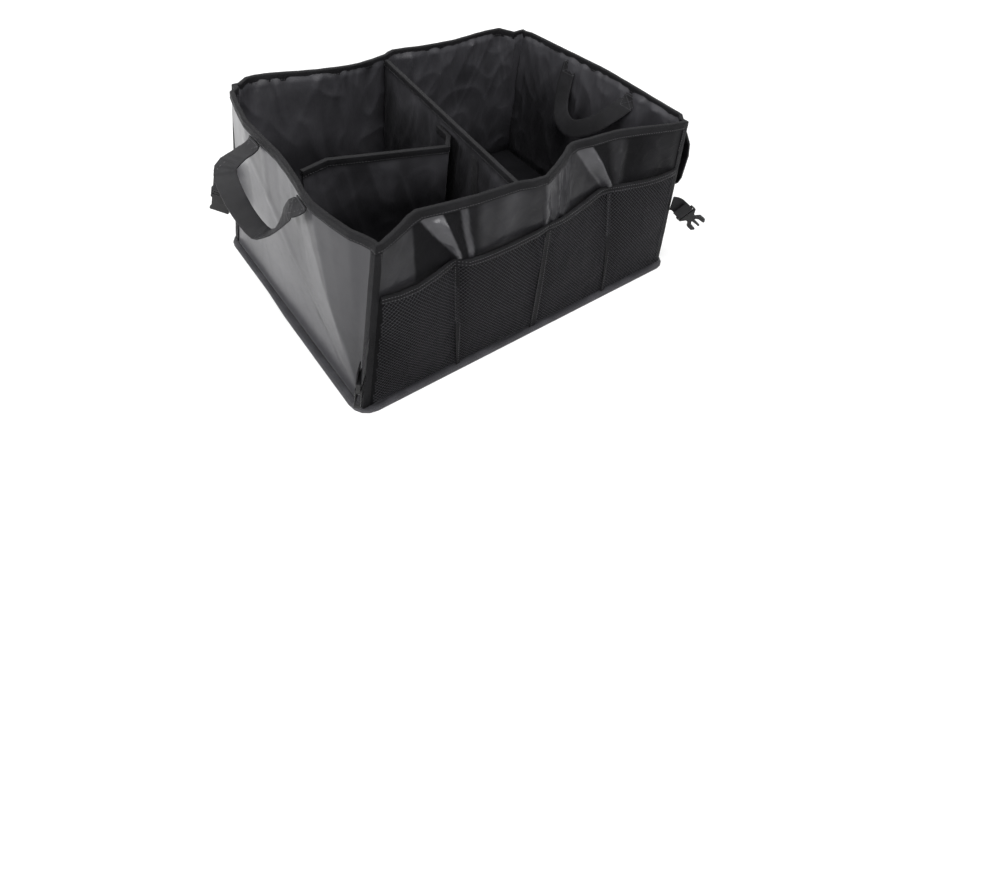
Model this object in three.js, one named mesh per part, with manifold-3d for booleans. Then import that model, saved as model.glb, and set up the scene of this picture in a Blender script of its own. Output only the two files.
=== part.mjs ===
// Foldable storage bag: an open rectangular cloth box stiffened with boards, with a bound rim, a bound
// base flange, two dividers, mesh pockets on the front, flap pockets on the right end, webbing handles
// on both ends and four short straps whose buckle halves hold the bag together when it is folded.
// Millimetres, +Z up, +X along the length, front towards -Y, origin at the middle of the base's underside.
import * as THREE from 'three';
import { mergeVertices } from 'three/addons/utils/BufferGeometryUtils.js';
import Module from 'manifold-3d';

const wasm = await Module();
wasm.setup();

// Overall sizes
const BASE_LENGTH = 564;
const BASE_WIDTH = 398;
const RIM_HEIGHT = 250;

// Layers of a wall, from outside to inside, and the air between two layers
const CLOTH = 0.8;
const BOARD = 2;
const LINING = 0.6;
const GAP = 0.3;
const SEAM = 0.2;
const WALL = CLOTH + GAP + BOARD + GAP + LINING;

// Binding tape: its thickness, how far it reaches down the rim, and its legs around a corner seam
const TAPE = 0.9;
const RIM_TAPE_DROP = 11;
const CORNER_LEG = 9;

// Base flange: the bound seam that sticks out around the foot
const FLANGE_REACH = 12.5;
const FLANGE_THICKNESS = 3.4;
const FLANGE_RADIUS = 28;
const FLANGE_CLEARANCE = 0.8;
const FLANGE_LAP_Y = 27;
const FLANGE_LAP_STEP = 2.5;

// Mesh pockets on the front
const HEM_HEIGHT = 180;
const HEM_DROP = 9;
const MESH = 1;
const MESH_OFF_WALL = 2.4;
const MESH_SIDE_CLEARANCE = 1.5;
const MESH_FOOT = FLANGE_THICKNESS + GAP;
const MESH_BULGE = 11;
const HEM_BULGE = 6.5;
const SEAM_TAPE_WIDTH = 7;
const CENTRE_TAPE_WIDTH = 12;

// Flap pockets on the right end
const POCKET_DEPTH = 22;
const POCKET_TOP = 172;
const POCKET_FOOT = 12;
const POCKET_CLOTH = 1.2;
const POCKET_OFF_WALL = 1;
const FLAP_BELOW_RIM = 15;
const FLAP_TOP = RIM_HEIGHT - FLAP_BELOW_RIM;
const FLAP_BOTTOM = 108;
const FLAP_CLOTH = 1.2;
const FLAP_OFF_WALL = 1.5;
const FLAP_OVER_POCKET = 3;
const FLAP_CORNER = 34;
const FLAP_TAPE_WIDTH = 9;
const CENTRE_STRIP_WIDTH = 9;
const PATCH_LENGTH = 60;
const PATCH_HEIGHT = 20;
const PATCH_THICKNESS = 0.5;

// Dividers
const DIVIDER_BELOW_RIM = 5;
const DIVIDER_HEIGHT = RIM_HEIGHT - DIVIDER_BELOW_RIM;
const DIVIDER_CLOTH = 0.6;
const DIVIDER_BOARD = 2;
const DIVIDER_TAPE_DROP = 10;
const DIVIDER_FRONT_X = -43;
const DIVIDER_BACK_X = -8;
const CROSS_BELOW_RIM = 21;
const CROSS_HEIGHT = RIM_HEIGHT - CROSS_BELOW_RIM;
const LOOP_STRIP_WIDTH = 16;
const LOOP_STRIP_THICKNESS = 0.9;
const LOOP_STRIP_TOP = [-74, DIVIDER_HEIGHT - 17];
const LOOP_STRIP_FOOT = [-112, 40];

// Webbing and buckles
const HANDLE_WIDTH = 28;
const HANDLE_THICKNESS = 1.8;
const STRAP_WIDTH = 24;
const STRAP_THICKNESS = 1.3;
const STRAP_HEIGHT = 114;
const STRAP_TURN = 16;
const BUCKLE_WIDTH = 30;
const BUCKLE_THICKNESS = 4.6;
const SLEEVE_THICKNESS = 8;
const BUCKLE_BAR = 3;
const BUCKLE_SLOT = 4.4;
const BUCKLE_RAIL = 2;

const FOOT = CLOTH + GAP;
const FLOOR = FOOT + BOARD + GAP + LINING;
const FLOOR_CLEARANCE = 1.2;

// How far each rim corner is drawn in, along X and along Y, from the base corner below it
const CORNERS = {
  frontLeft: { side: [-1, -1], drawnIn: [28, 12] },
  frontRight: { side: [1, -1], drawnIn: [18, 26] },
  backRight: { side: [1, 1], drawnIn: [27, 22] },
  backLeft: { side: [-1, 1], drawnIn: [39, -10] },
};

// Each wall runs anticlockwise from one corner to the next. A column is a line up the cloth: its share of
// the wall's length at the base, at the low height and at the rim, then how far the cloth stands out of
// the straight line between the corners at the low height and at the rim. crease keeps a fold sharp.
const WALLS = {
  front: {
    from: 'frontLeft',
    to: 'frontRight',
    lowHeight: HEM_HEIGHT,
    columns: [
      { base: 0.13, low: 0.104, rim: 0.091, lowOut: -1, rimOut: -17 },
      { base: 0.26, low: 0.225, rim: 0.137, lowOut: -10, rimOut: -27, crease: true },
      { base: 0.29, low: 0.255, rim: 0.2, lowOut: -1, rimOut: -21, crease: true },
      { base: 0.35, low: 0.324, rim: 0.29, lowOut: -1, rimOut: -13.7 },
      { base: 0.43, low: 0.418, rim: 0.4, lowOut: -1, rimOut: -9 },
      { base: 0.5, low: 0.499, rim: 0.477, lowOut: 0, rimOut: -0.5, crease: true },
      { base: 0.58, low: 0.578, rim: 0.595, lowOut: -9, rimOut: -29 },
      { base: 0.7, low: 0.716, rim: 0.64, lowOut: -25, rimOut: -40, crease: true },
      { base: 0.76, low: 0.751, rim: 0.695, lowOut: -19, rimOut: -36 },
      { base: 0.81, low: 0.804, rim: 0.78, lowOut: -15, rimOut: -32 },
      { base: 0.87, low: 0.87, rim: 0.857, lowOut: -8, rimOut: -21 },
      { base: 0.93, low: 0.936, rim: 0.919, lowOut: -3, rimOut: -9 },
    ],
  },
  right: {
    from: 'frontRight',
    to: 'backRight',
    lowHeight: 0.6 * RIM_HEIGHT,
    columns: [
      { base: 0.05, low: 0.05, rim: 0.05, lowOut: 5, rimOut: 9, crease: true },
      { base: 0.085, low: 0.085, rim: 0.085, lowOut: 5.2, rimOut: 9.7 },
      { base: 0.28, low: 0.28, rim: 0.28, lowOut: 7.2, rimOut: 13.3 },
      { base: 0.455, low: 0.455, rim: 0.455, lowOut: 9, rimOut: 16.4, crease: true },
      { base: 0.48, low: 0.48, rim: 0.48, lowOut: 9.2, rimOut: 16.8, crease: true },
      { base: 0.52, low: 0.52, rim: 0.52, lowOut: 9.2, rimOut: 16.4, crease: true },
      { base: 0.545, low: 0.545, rim: 0.545, lowOut: 9, rimOut: 15.7 },
      { base: 0.73, low: 0.73, rim: 0.73, lowOut: 6.5, rimOut: 10.8 },
      { base: 0.915, low: 0.915, rim: 0.915, lowOut: 4, rimOut: 5.9, crease: true },
      { base: 0.95, low: 0.95, rim: 0.95, lowOut: 3.5, rimOut: 5 },
    ],
  },
  back: {
    from: 'backRight',
    to: 'backLeft',
    lowHeight: 0.6 * RIM_HEIGHT,
    columns: [
      { base: 0.045, low: 0.045, rim: 0.042, lowOut: 0, rimOut: -2, crease: true },
      { base: 0.08, low: 0.08, rim: 0.072, lowOut: 5, rimOut: 20 },
      { base: 0.17, low: 0.17, rim: 0.17, lowOut: 6, rimOut: 17 },
      { base: 0.27, low: 0.27, rim: 0.27, lowOut: 4, rimOut: 9 },
      { base: 0.4, low: 0.4, rim: 0.4, lowOut: 4, rimOut: 9.5 },
      { base: 0.5, low: 0.495, rim: 0.488, lowOut: 5, rimOut: 14, crease: true },
      { base: 0.535, low: 0.53, rim: 0.525, lowOut: 3, rimOut: 4 },
      { base: 0.62, low: 0.62, rim: 0.62, lowOut: -2, rimOut: -7.5 },
      { base: 0.7, low: 0.7, rim: 0.7, lowOut: -3, rimOut: -6.5 },
      { base: 0.8, low: 0.8, rim: 0.8, lowOut: 1, rimOut: 2 },
      { base: 0.9, low: 0.9, rim: 0.9, lowOut: 5, rimOut: 14 },
      { base: 0.96, low: 0.96, rim: 0.955, lowOut: 3, rimOut: 13, crease: true },
    ],
  },
  left: {
    from: 'backLeft',
    to: 'frontLeft',
    lowHeight: 0.5 * RIM_HEIGHT,
    columns: [
      { base: 0.05, low: 0.05, rim: 0.045, lowOut: 4, rimOut: 10 },
      { base: 0.25, low: 0.25, rim: 0.24, lowOut: 12, rimOut: 23 },
      { base: 0.52, low: 0.5, rim: 0.47, lowOut: 12, rimOut: 18 },
      { base: 0.75, low: 0.68, rim: 0.62, lowOut: 13, rimOut: 22 },
      { base: 0.93, low: 0.83, rim: 0.745, lowOut: 15, rimOut: 27, crease: true },
      { base: 0.955, low: 0.93, rim: 0.91, lowOut: 4, rimOut: 13 },
    ],
  },
};
const WALL_ORDER = ['front', 'right', 'back', 'left'];
const LOW_CURVE = 1.6;

const group = new THREE.Group();

// Colours and finishes of the materials
const FINISHES = {
  cloth: { color: 0x2b2c2f, roughness: 0.72, metalness: 0 },
  lining: { color: 0x17181b, roughness: 0.4, metalness: 0 },
  board: { color: 0x8a8074, roughness: 0.9, metalness: 0 },
  tape: { color: 0x222325, roughness: 0.85, metalness: 0 },
  mesh: { color: 0x1c1d1f, roughness: 0.8, metalness: 0 },
  webbing: { color: 0x26272a, roughness: 0.8, metalness: 0 },
  plastic: { color: 0x131315, roughness: 0.3, metalness: 0 },
  hookAndLoop: { color: 0x1a1a1c, roughness: 0.95, metalness: 0 },
};

function add(name, geometry, finish) {
  const mesh = new THREE.Mesh(geometry, new THREE.MeshStandardMaterial(FINISHES[finish]));
  mesh.name = name;
  group.add(mesh);
  return mesh;
}

// Closed solids from rings of points

function lerp(a, b, t) {
  return a + (b - a) * t;
}

function signedVolume(points, faces) {
  const cross = new THREE.Vector3();
  let sum = 0;
  for (const [a, b, c] of faces) {
    sum += points[a].dot(cross.crossVectors(points[b], points[c]));
  }
  return sum / 6;
}

// Skins a row of rings with equal point counts. loop joins the last ring to the first; otherwise the two
// end rings are closed with capFaces, triangles that name points of one ring. Squares are split along their
// other diagonal where turned says so of a point, so that faces that lie against each other bend alike.
function skin(rings, { loop = false, capFaces = [], turned = () => false } = {}) {
  const count = rings[0].length;
  const points = rings.flat();
  const faces = [];
  const steps = loop ? rings.length : rings.length - 1;
  for (let r = 0; r < steps; r += 1) {
    const here = r * count;
    const there = ((r + 1) % rings.length) * count;
    for (let j = 0; j < count; j += 1) {
      const next = (j + 1) % count;
      if (turned(j)) {
        faces.push([here + j, here + next, there + j]);
        faces.push([here + next, there + next, there + j]);
      } else {
        faces.push([here + j, here + next, there + next]);
        faces.push([here + j, there + next, there + j]);
      }
    }
  }
  if (!loop) {
    const last = (rings.length - 1) * count;
    for (const [a, b, c] of capFaces) {
      faces.push([c, b, a]);
      faces.push([last + a, last + b, last + c]);
    }
  }
  if (signedVolume(points, faces) < 0) {
    faces.forEach((face) => face.reverse());
  }
  const geometry = new THREE.BufferGeometry();
  geometry.setAttribute('position', new THREE.Float32BufferAttribute(points.flatMap((p) => p.toArray()), 3));
  geometry.setIndex(faces.flat());
  return geometry;
}

// End faces of a ring that runs along one edge of a thin strip and back along the other
function stripCap(count) {
  const faces = [];
  for (let j = 0; j < count / 2 - 1; j += 1) {
    faces.push([j, j + 1, count - 2 - j]);
    faces.push([j, count - 2 - j, count - 1 - j]);
  }
  return faces;
}

// End faces of a ring with the outline of a flat section, given as [across, up] pairs
function sectionCap(section) {
  const outline = section.map(([a, b]) => new THREE.Vector2(a, b));
  const faces = THREE.ShapeUtils.triangulateShape(outline, []);
  const turn = (points) => Math.sign(THREE.ShapeUtils.area(points));
  const agrees = turn(outline) === turn(faces[0].map((index) => outline[index]));
  return agrees ? faces : faces.map(([a, b, c]) => [c, b, a]);
}

// A U over an edge, open at its low side: section points as [across, up]
function channel(outside, inside, low, top, thickness) {
  return [
    [outside, low],
    [outside, top],
    [inside, top],
    [inside, low],
    [inside + thickness, low],
    [inside + thickness, top - thickness],
    [outside - thickness, top - thickness],
    [outside - thickness, low],
  ];
}

// The points of a channel from which its section runs downwards
function channelFalls(j) {
  return j === 2 || j === 6;
}

// Wall surfaces

function cornerAt(name, z) {
  const { side, drawnIn } = CORNERS[name];
  const up = z / RIM_HEIGHT;
  return new THREE.Vector2(
    side[0] * (BASE_LENGTH / 2 - drawnIn[0] * up),
    side[1] * (BASE_WIDTH / 2 - drawnIn[1] * up),
  );
}

function smoothOut(values, k, t) {
  const at = (i) => values[Math.min(Math.max(i, 0), values.length - 1)];
  const [a, b, c, d] = [at(k - 1), at(k), at(k + 1), at(k + 2)];
  return 0.5 * (2 * b + (c - a) * t + (2 * a - 5 * b + 4 * c - d) * t * t + (3 * b - a - 3 * c + d) * t * t * t);
}

// Stations are the columns with the corners, the ends of the corner bindings and a point in each span
function makeStations(wall) {
  const along = wall.from === 'frontLeft' || wall.from === 'backRight' ? BASE_LENGTH : BASE_WIDTH;
  const leg = CORNER_LEG / along;
  const flat = (share) => ({ base: share, low: share, rim: share, lowOut: 0, rimOut: 0, crease: true });
  const columns = [flat(0), flat(leg), ...wall.columns, { ...flat(1 - leg) }, flat(1)];
  const lowOuts = columns.map((c) => c.lowOut);
  const rimOuts = columns.map((c) => c.rimOut);
  const stations = [];
  columns.forEach((column, k) => {
    stations.push(column);
    const next = columns[k + 1];
    if (next && !(column.crease && next.crease) && k > 0) {
      stations.push({
        base: lerp(column.base, next.base, 0.5),
        low: lerp(column.low, next.low, 0.5),
        rim: lerp(column.rim, next.rim, 0.5),
        lowOut: smoothOut(lowOuts, k, 0.5),
        rimOut: smoothOut(rimOuts, k, 0.5),
      });
    }
  });
  return stations;
}

for (const name of WALL_ORDER) {
  WALLS[name].stations = makeStations(WALLS[name]);
}

function lastStation(name) {
  return WALLS[name].stations.length - 1;
}

function stationShare(name, k, z) {
  const wall = WALLS[name];
  const station = wall.stations[k];
  if (z < wall.lowHeight) {
    return lerp(station.base, station.low, z / wall.lowHeight);
  }
  return lerp(station.low, station.rim, (z - wall.lowHeight) / (RIM_HEIGHT - wall.lowHeight));
}

function stationPlan(name, k, z) {
  const wall = WALLS[name];
  const station = wall.stations[k];
  const start = cornerAt(wall.from, z);
  const end = cornerAt(wall.to, z);
  const along = end.clone().sub(start).normalize();
  const outward = new THREE.Vector2(along.y, -along.x);
  const out = z < wall.lowHeight
    ? station.lowOut * (Math.max(z, 0) / wall.lowHeight) ** LOW_CURVE
    : lerp(station.lowOut, station.rimOut, (z - wall.lowHeight) / (RIM_HEIGHT - wall.lowHeight));
  return start.lerp(end, stationShare(name, k, z)).addScaledVector(outward, out);
}

function neighbourPlan(name, k, z) {
  const order = WALL_ORDER.indexOf(name);
  if (k < 0) {
    const before = WALL_ORDER[(order + 3) % 4];
    return stationPlan(before, lastStation(before) - 1, z);
  }
  if (k > lastStation(name)) {
    return stationPlan(WALL_ORDER[(order + 1) % 4], 1, z);
  }
  return stationPlan(name, k, z);
}

// The direction in which a station moves when the wall is offset by one millimetre
function mitre(name, k, z) {
  const here = stationPlan(name, k, z);
  const before = here.clone().sub(neighbourPlan(name, k - 1, z)).normalize();
  const after = neighbourPlan(name, k + 1, z).sub(here).normalize();
  const sum = new THREE.Vector2(before.y + after.y, -before.x - after.x);
  return sum.divideScalar(1 + before.dot(after));
}

function wallPoint(name, k, z, off) {
  const plan = stationPlan(name, k, z).addScaledVector(mitre(name, k, z), off);
  return new THREE.Vector3(plan.x, plan.y, z);
}

// A point at any share of a wall's length, on the facets between its stations. The offset is a number, or
// a function of the stations' base shares and the height.
function wallPointAt(name, share, z, off) {
  let k = 0;
  while (k < lastStation(name) - 1 && stationShare(name, k + 1, z) < share) {
    k += 1;
  }
  const t = (share - stationShare(name, k, z)) / (stationShare(name, k + 1, z) - stationShare(name, k, z));
  const at = (station) => {
    const value = typeof off === 'function' ? off(stationShare(name, station, 0), z) : off;
    return wallPoint(name, station, z, value);
  };
  return at(k).lerp(at(k + 1), t);
}

// The Y of a long wall's offset surface above a given X, for what stands against it
function wallYAt(name, x, z, off) {
  for (let k = 0; k < lastStation(name); k += 1) {
    const a = wallPoint(name, k, z, off);
    const b = wallPoint(name, k + 1, z, off);
    if ((a.x - x) * (b.x - x) <= 0) {
      return lerp(a.y, b.y, (x - a.x) / (b.x - a.x));
    }
  }
  throw new Error(`no ${name} wall at x ${x}`);
}

// Cuts the first and last of a row of rings back along the strip, by lengths in millimetres
function trim(rings, startCut, endCut) {
  const cut = (ring, next, length) => ring.map((p, j) => p.clone().lerp(next[j], length / p.distanceTo(next[j])));
  const last = rings.length - 1;
  const start = cut(rings[0], rings[1], startCut);
  const end = cut(rings[last], rings[last - 1], endCut);
  return [start, ...rings.slice(1, last), end];
}

// A sheet between two stations, whose two faces lie at offsets given for each share and height
function sheet(name, from, to, heights, outer, inner, startCut = 0, endCut = 0) {
  const rings = [];
  for (let k = from; k <= to; k += 1) {
    const share = stationShare(name, k, 0);
    const face = (offset) => heights.map((z) => wallPoint(name, k, z, offset(share, z)));
    rings.push([...face(outer), ...face(inner).reverse()]);
  }
  const options = { capFaces: stripCap(heights.length * 2), turned: (j) => j >= heights.length };
  return skin(trim(rings, startCut, endCut), options);
}

function level(value) {
  return () => value;
}

// Heights of the rows of a wall, up to its top edge
function wallRows(name, top) {
  const shares = { front: [0.18, 0.36, 0.54], right: [0.3], back: [0.3], left: [0.25] }[name];
  const low = WALLS[name].lowHeight;
  const rows = [FOOT, ...shares.map((share) => share * RIM_HEIGHT), low, lerp(low, BOARD_TOP, 0.5), BOARD_TOP];
  return top > BOARD_TOP ? [...rows, top] : rows;
}

const CLOTH_TOP = RIM_HEIGHT - TAPE - GAP;
const BOARD_TOP = RIM_HEIGHT - RIM_TAPE_DROP - 2;
const BOARD_OUTER = -CLOTH - GAP;
const LINING_OUTER = BOARD_OUTER - BOARD - GAP;
const FOLD_GAP = 4;

function makeWall(name) {
  const last = lastStation(name);
  const rows = wallRows(name, CLOTH_TOP);
  const boardRows = wallRows(name, BOARD_TOP);
  add(`${name}_wall_cloth`, sheet(name, 0, last, rows, level(0), level(-CLOTH), SEAM, SEAM), 'cloth');
  add(`${name}_wall_lining`, sheet(name, 0, last, rows, level(LINING_OUTER), level(-WALL), SEAM, SEAM), 'lining');
  const board = (from, to, startCut, endCut) => (
    sheet(name, from, to, boardRows, level(BOARD_OUTER), level(BOARD_OUTER - BOARD), startCut, endCut)
  );
  if (name === 'front' || name === 'back') {
    const middle = middleStation(name);
    const sides = name === 'front' ? ['left', 'right'] : ['right', 'left'];
    add(`${name}_wall_board_${sides[0]}`, board(1, middle, 0, FOLD_GAP / 2), 'board');
    add(`${name}_wall_board_${sides[1]}`, board(middle, last - 1, FOLD_GAP / 2, 0), 'board');
  } else {
    add(`${name}_wall_board`, board(1, last - 1, 0, 0), 'board');
  }
}

// The station of a long wall on its fold line, nearest the middle of the base
function middleStation(name) {
  const off = WALLS[name].stations.map((station) => Math.abs(station.base - 0.5));
  return off.indexOf(Math.min(...off));
}

// The bound rim: one tape around all four walls
function makeRim() {
  const section = channel(GAP + TAPE, -WALL - GAP - TAPE, RIM_HEIGHT - RIM_TAPE_DROP, RIM_HEIGHT, TAPE);
  const shaped = section.map(([off, z], j) => [off, z, j]);
  const rings = [];
  for (const name of WALL_ORDER) {
    for (let k = 0; k < lastStation(name); k += 1) {
      rings.push(shaped.map(([off, z]) => wallPoint(name, k, z, off)));
    }
  }
  add('rim_binding', skin(rings, { loop: true, turned: channelFalls }), 'tape');
}

// A binding around each upright corner seam
function makeCornerBinding(before, after, label) {
  const top = RIM_HEIGHT - RIM_TAPE_DROP - GAP;
  const foot = FLANGE_THICKNESS + GAP;
  const heights = [foot, 0.3 * RIM_HEIGHT, 0.6 * RIM_HEIGHT, 0.8 * RIM_HEIGHT, top];
  const rings = heights.map((z) => {
    const line = (off) => [
      wallPoint(before, lastStation(before) - 1, z, off),
      wallPoint(after, 0, z, off),
      wallPoint(after, 1, z, off),
    ];
    return [...line(GAP + TAPE), ...line(GAP).reverse()];
  });
  add(label, skin(rings, { capFaces: stripCap(6) }), 'tape');
}

// Base: underside cloth, two boards that fold on the middle line, lining, and the bound flange

function plate(length, width, low, high, x = 0) {
  const geometry = new THREE.BoxGeometry(length, width, high - low);
  return geometry.translate(x, 0, (low + high) / 2);
}

function makeBase() {
  add('base_cloth', plate(BASE_LENGTH, BASE_WIDTH, 0, CLOTH), 'cloth');
  const insideLength = BASE_LENGTH - 2 * (WALL + FLOOR_CLEARANCE);
  const insideWidth = BASE_WIDTH - 2 * (WALL + FLOOR_CLEARANCE);
  const half = (insideLength - FOLD_GAP) / 2;
  const boardX = (half + FOLD_GAP) / 2;
  add('base_board_left', plate(half, insideWidth, FOOT, FOOT + BOARD, -boardX), 'board');
  add('base_board_right', plate(half, insideWidth, FOOT, FOOT + BOARD, boardX), 'board');
  add('base_lining', plate(insideLength, insideWidth, FLOOR - LINING, FLOOR), 'lining');
  add('base_flange', flangeGeometry(), 'tape');
}

function roundedLoop(reach, radius, arcSteps, sideSteps) {
  const x = BASE_LENGTH / 2 + reach - radius;
  const y = BASE_WIDTH / 2 + reach - radius;
  const centres = [[x, -y, -90], [x, y, 0], [-x, y, 90], [-x, -y, 180]];
  const loop = [];
  centres.forEach(([cx, cy, startAngle], corner) => {
    for (let step = 0; step <= arcSteps; step += 1) {
      const angle = THREE.MathUtils.degToRad(startAngle + (90 * step) / arcSteps);
      loop.push([cx + radius * Math.cos(angle), cy + radius * Math.sin(angle)]);
    }
    const [fromX, fromY] = loop[loop.length - 1];
    const [nextX, nextY, nextAngle] = centres[(corner + 1) % 4];
    const turned = THREE.MathUtils.degToRad(nextAngle);
    const toX = nextX + radius * Math.cos(turned);
    const toY = nextY + radius * Math.sin(turned);
    for (let step = 1; step < sideSteps; step += 1) {
      loop.push([lerp(fromX, toX, step / sideSteps), lerp(fromY, toY, step / sideSteps)]);
    }
  });
  return loop;
}

function flangeGeometry() {
  const arcSteps = 4;
  const sideSteps = 6;
  const innerRadius = 1;
  const inner = roundedLoop(FLANGE_CLEARANCE, innerRadius, arcSteps, sideSteps);
  const outer = roundedLoop(FLANGE_REACH, FLANGE_RADIUS, arcSteps, sideSteps);
  const rings = inner.map(([ix, iy], k) => {
    const [outerX, oy] = outer[k];
    const lapped = outerX < -BASE_LENGTH / 2 && oy > FLANGE_LAP_Y;
    const ox = lapped ? outerX + FLANGE_LAP_STEP : outerX;
    const at = (share, z) => new THREE.Vector3(lerp(ix, ox, share), lerp(iy, oy, share), z);
    return [
      at(0, 0.4),
      at(0, FLANGE_THICKNESS),
      at(0.85, FLANGE_THICKNESS),
      at(1, FLANGE_THICKNESS * 0.6),
      at(1, FLANGE_THICKNESS * 0.2),
      at(0.85, 0),
    ];
  });
  return skin(rings, { loop: true });
}

// Front mesh pockets: two panels of two pockets each, sewn down at the corners, the middle and one seam

const POCKET_SEAMS = { left: 0.26, right: 0.76 };

// Zero at a pocket's sewn sides and one in its middle
function pocketSwell(share) {
  const seams = [0.01, POCKET_SEAMS.left, 0.5, POCKET_SEAMS.right, 0.99];
  for (let k = 0; k < seams.length - 1; k += 1) {
    if (share > seams[k] && share < seams[k + 1]) {
      const t = (share - seams[k]) / (seams[k + 1] - seams[k]);
      return Math.sin(Math.PI * t) ** 0.8;
    }
  }
  return 0;
}

function meshOffset(share, z) {
  const up = (z - MESH_FOOT) / (HEM_HEIGHT - MESH_FOOT);
  const bulge = up * HEM_BULGE + Math.sin(Math.PI * Math.min(Math.max(up, 0), 1)) * (MESH_BULGE - HEM_BULGE / 2);
  return MESH_OFF_WALL + Math.max(bulge, 0) * pocketSwell(share);
}

function meshRows(top) {
  const rows = [MESH_FOOT, ...[0.18, 0.36, 0.54].map((share) => share * RIM_HEIGHT), HEM_HEIGHT - HEM_DROP];
  return [...rows.filter((z) => z < top), top];
}

function makeMeshPockets() {
  const middle = middleStation('front');
  const last = lastStation('front');
  const outer = (share, z) => meshOffset(share, z) + MESH;
  const spans = {
    left: [1, middle, MESH_SIDE_CLEARANCE, SEAM],
    right: [middle, last - 1, SEAM, MESH_SIDE_CLEARANCE],
  };
  const rows = meshRows(HEM_HEIGHT - TAPE - GAP);
  for (const [side, [from, to, startCut, endCut]] of Object.entries(spans)) {
    const mesh = sheet('front', from, to, rows, outer, meshOffset, startCut, endCut);
    add(`mesh_pocket_${side}`, mesh, 'mesh');
    add(`mesh_hem_${side}`, hemGeometry(from, to, startCut, endCut), 'tape');
    const seam = nearestStation('front', POCKET_SEAMS[side]);
    add(`mesh_seam_${side}`, uprightTape(seam, SEAM_TAPE_WIDTH, HEM_HEIGHT - HEM_DROP - GAP), 'tape');
  }
  add('front_centre_tape', uprightTape(middle, CENTRE_TAPE_WIDTH, HEM_HEIGHT - HEM_DROP - GAP), 'tape');
}

function nearestStation(name, share) {
  const off = WALLS[name].stations.map((station) => Math.abs(station.base - share));
  return off.indexOf(Math.min(...off));
}

// The tape folded over the top edge of a mesh panel
function hemGeometry(from, to, startCut, endCut) {
  const rings = [];
  const low = HEM_HEIGHT - HEM_DROP;
  const section = channel(GAP + TAPE + MESH, -GAP - TAPE, low, HEM_HEIGHT, TAPE);
  for (let k = from; k <= to; k += 1) {
    const share = stationShare('front', k, 0);
    rings.push(section.map(([off, z]) => wallPoint('front', k, z, meshOffset(share, z) + off)));
  }
  return skin(trim(rings, startCut, endCut), { capFaces: sectionCap(section), turned: channelFalls });
}

// A narrow tape down the front of the mesh at one station
function uprightTape(station, width, top) {
  const half = width / 2 / BASE_LENGTH;
  const rings = meshRows(top).map((z) => {
    const middle = stationShare('front', station, z);
    const face = (off) => [middle - half, middle, middle + half].map((share) => (
      wallPointAt('front', share, z, (at, height) => meshOffset(at, height) + MESH + off)
    ));
    return [...face(3 * GAP + TAPE), ...face(3 * GAP).reverse()];
  });
  return skin(rings, { capFaces: stripCap(6) });
}

// Flap pockets on the right end

const POCKETS = { front: [0.05, 0.48], back: [0.52, 0.95] };
const POCKET_SIDE = 0.035;

function pocketOffset([start, end]) {
  return (share, z) => {
    const across = Math.min(share - start, end - share) / POCKET_SIDE;
    const side = Math.min(Math.max(across, 0), 1);
    const foot = Math.min(Math.max((z - POCKET_FOOT) / POCKET_DEPTH, 0), 1);
    return POCKET_OFF_WALL + POCKET_DEPTH * Math.min(side, foot);
  };
}

// The offset of a flap's inner face: near the wall at its seam, then out over the pocket below
function flapOffset(z) {
  const over = POCKET_OFF_WALL + POCKET_DEPTH + POCKET_CLOTH + FLAP_OVER_POCKET;
  const down = Math.min((FLAP_TOP - z) / (FLAP_TOP - POCKET_TOP - 10), 1);
  return lerp(FLAP_OFF_WALL, over, Math.sin((Math.PI / 2) * down));
}

function flapHalfWidthLoss(z) {
  const intoCorner = Math.max(FLAP_BOTTOM + FLAP_CORNER - z, 0);
  return FLAP_CORNER - Math.sqrt(Math.max(FLAP_CORNER ** 2 - intoCorner ** 2, 0));
}

function flapRows() {
  const corner = [0.985, 0.86, 0.6, 0.3, 0].map((share) => FLAP_BOTTOM + FLAP_CORNER * (1 - share));
  return [...corner, POCKET_TOP - 14, POCKET_TOP + 8, lerp(POCKET_TOP, FLAP_TOP, 0.45), lerp(POCKET_TOP, FLAP_TOP, 0.75), FLAP_TOP];
}

function flapPoint(span, across, z, off) {
  const wallWidth = cornerAt('backRight', z).distanceTo(cornerAt('frontRight', z));
  const loss = flapHalfWidthLoss(z) / wallWidth;
  const share = lerp(span[0] + loss, span[1] - loss, across);
  return wallPointAt('right', share, z, flapOffset(z) + off);
}

function flapGeometry(span) {
  const across = [0, 0.08, 0.31, 0.53, 0.73, 0.93, 1];
  const rings = across.map((a) => {
    const face = (off) => flapRows().map((z) => flapPoint(span, a, z, off));
    return [...face(FLAP_CLOTH), ...face(0).reverse()];
  });
  return skin(rings, { capFaces: stripCap(flapRows().length * 2) });
}

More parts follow.
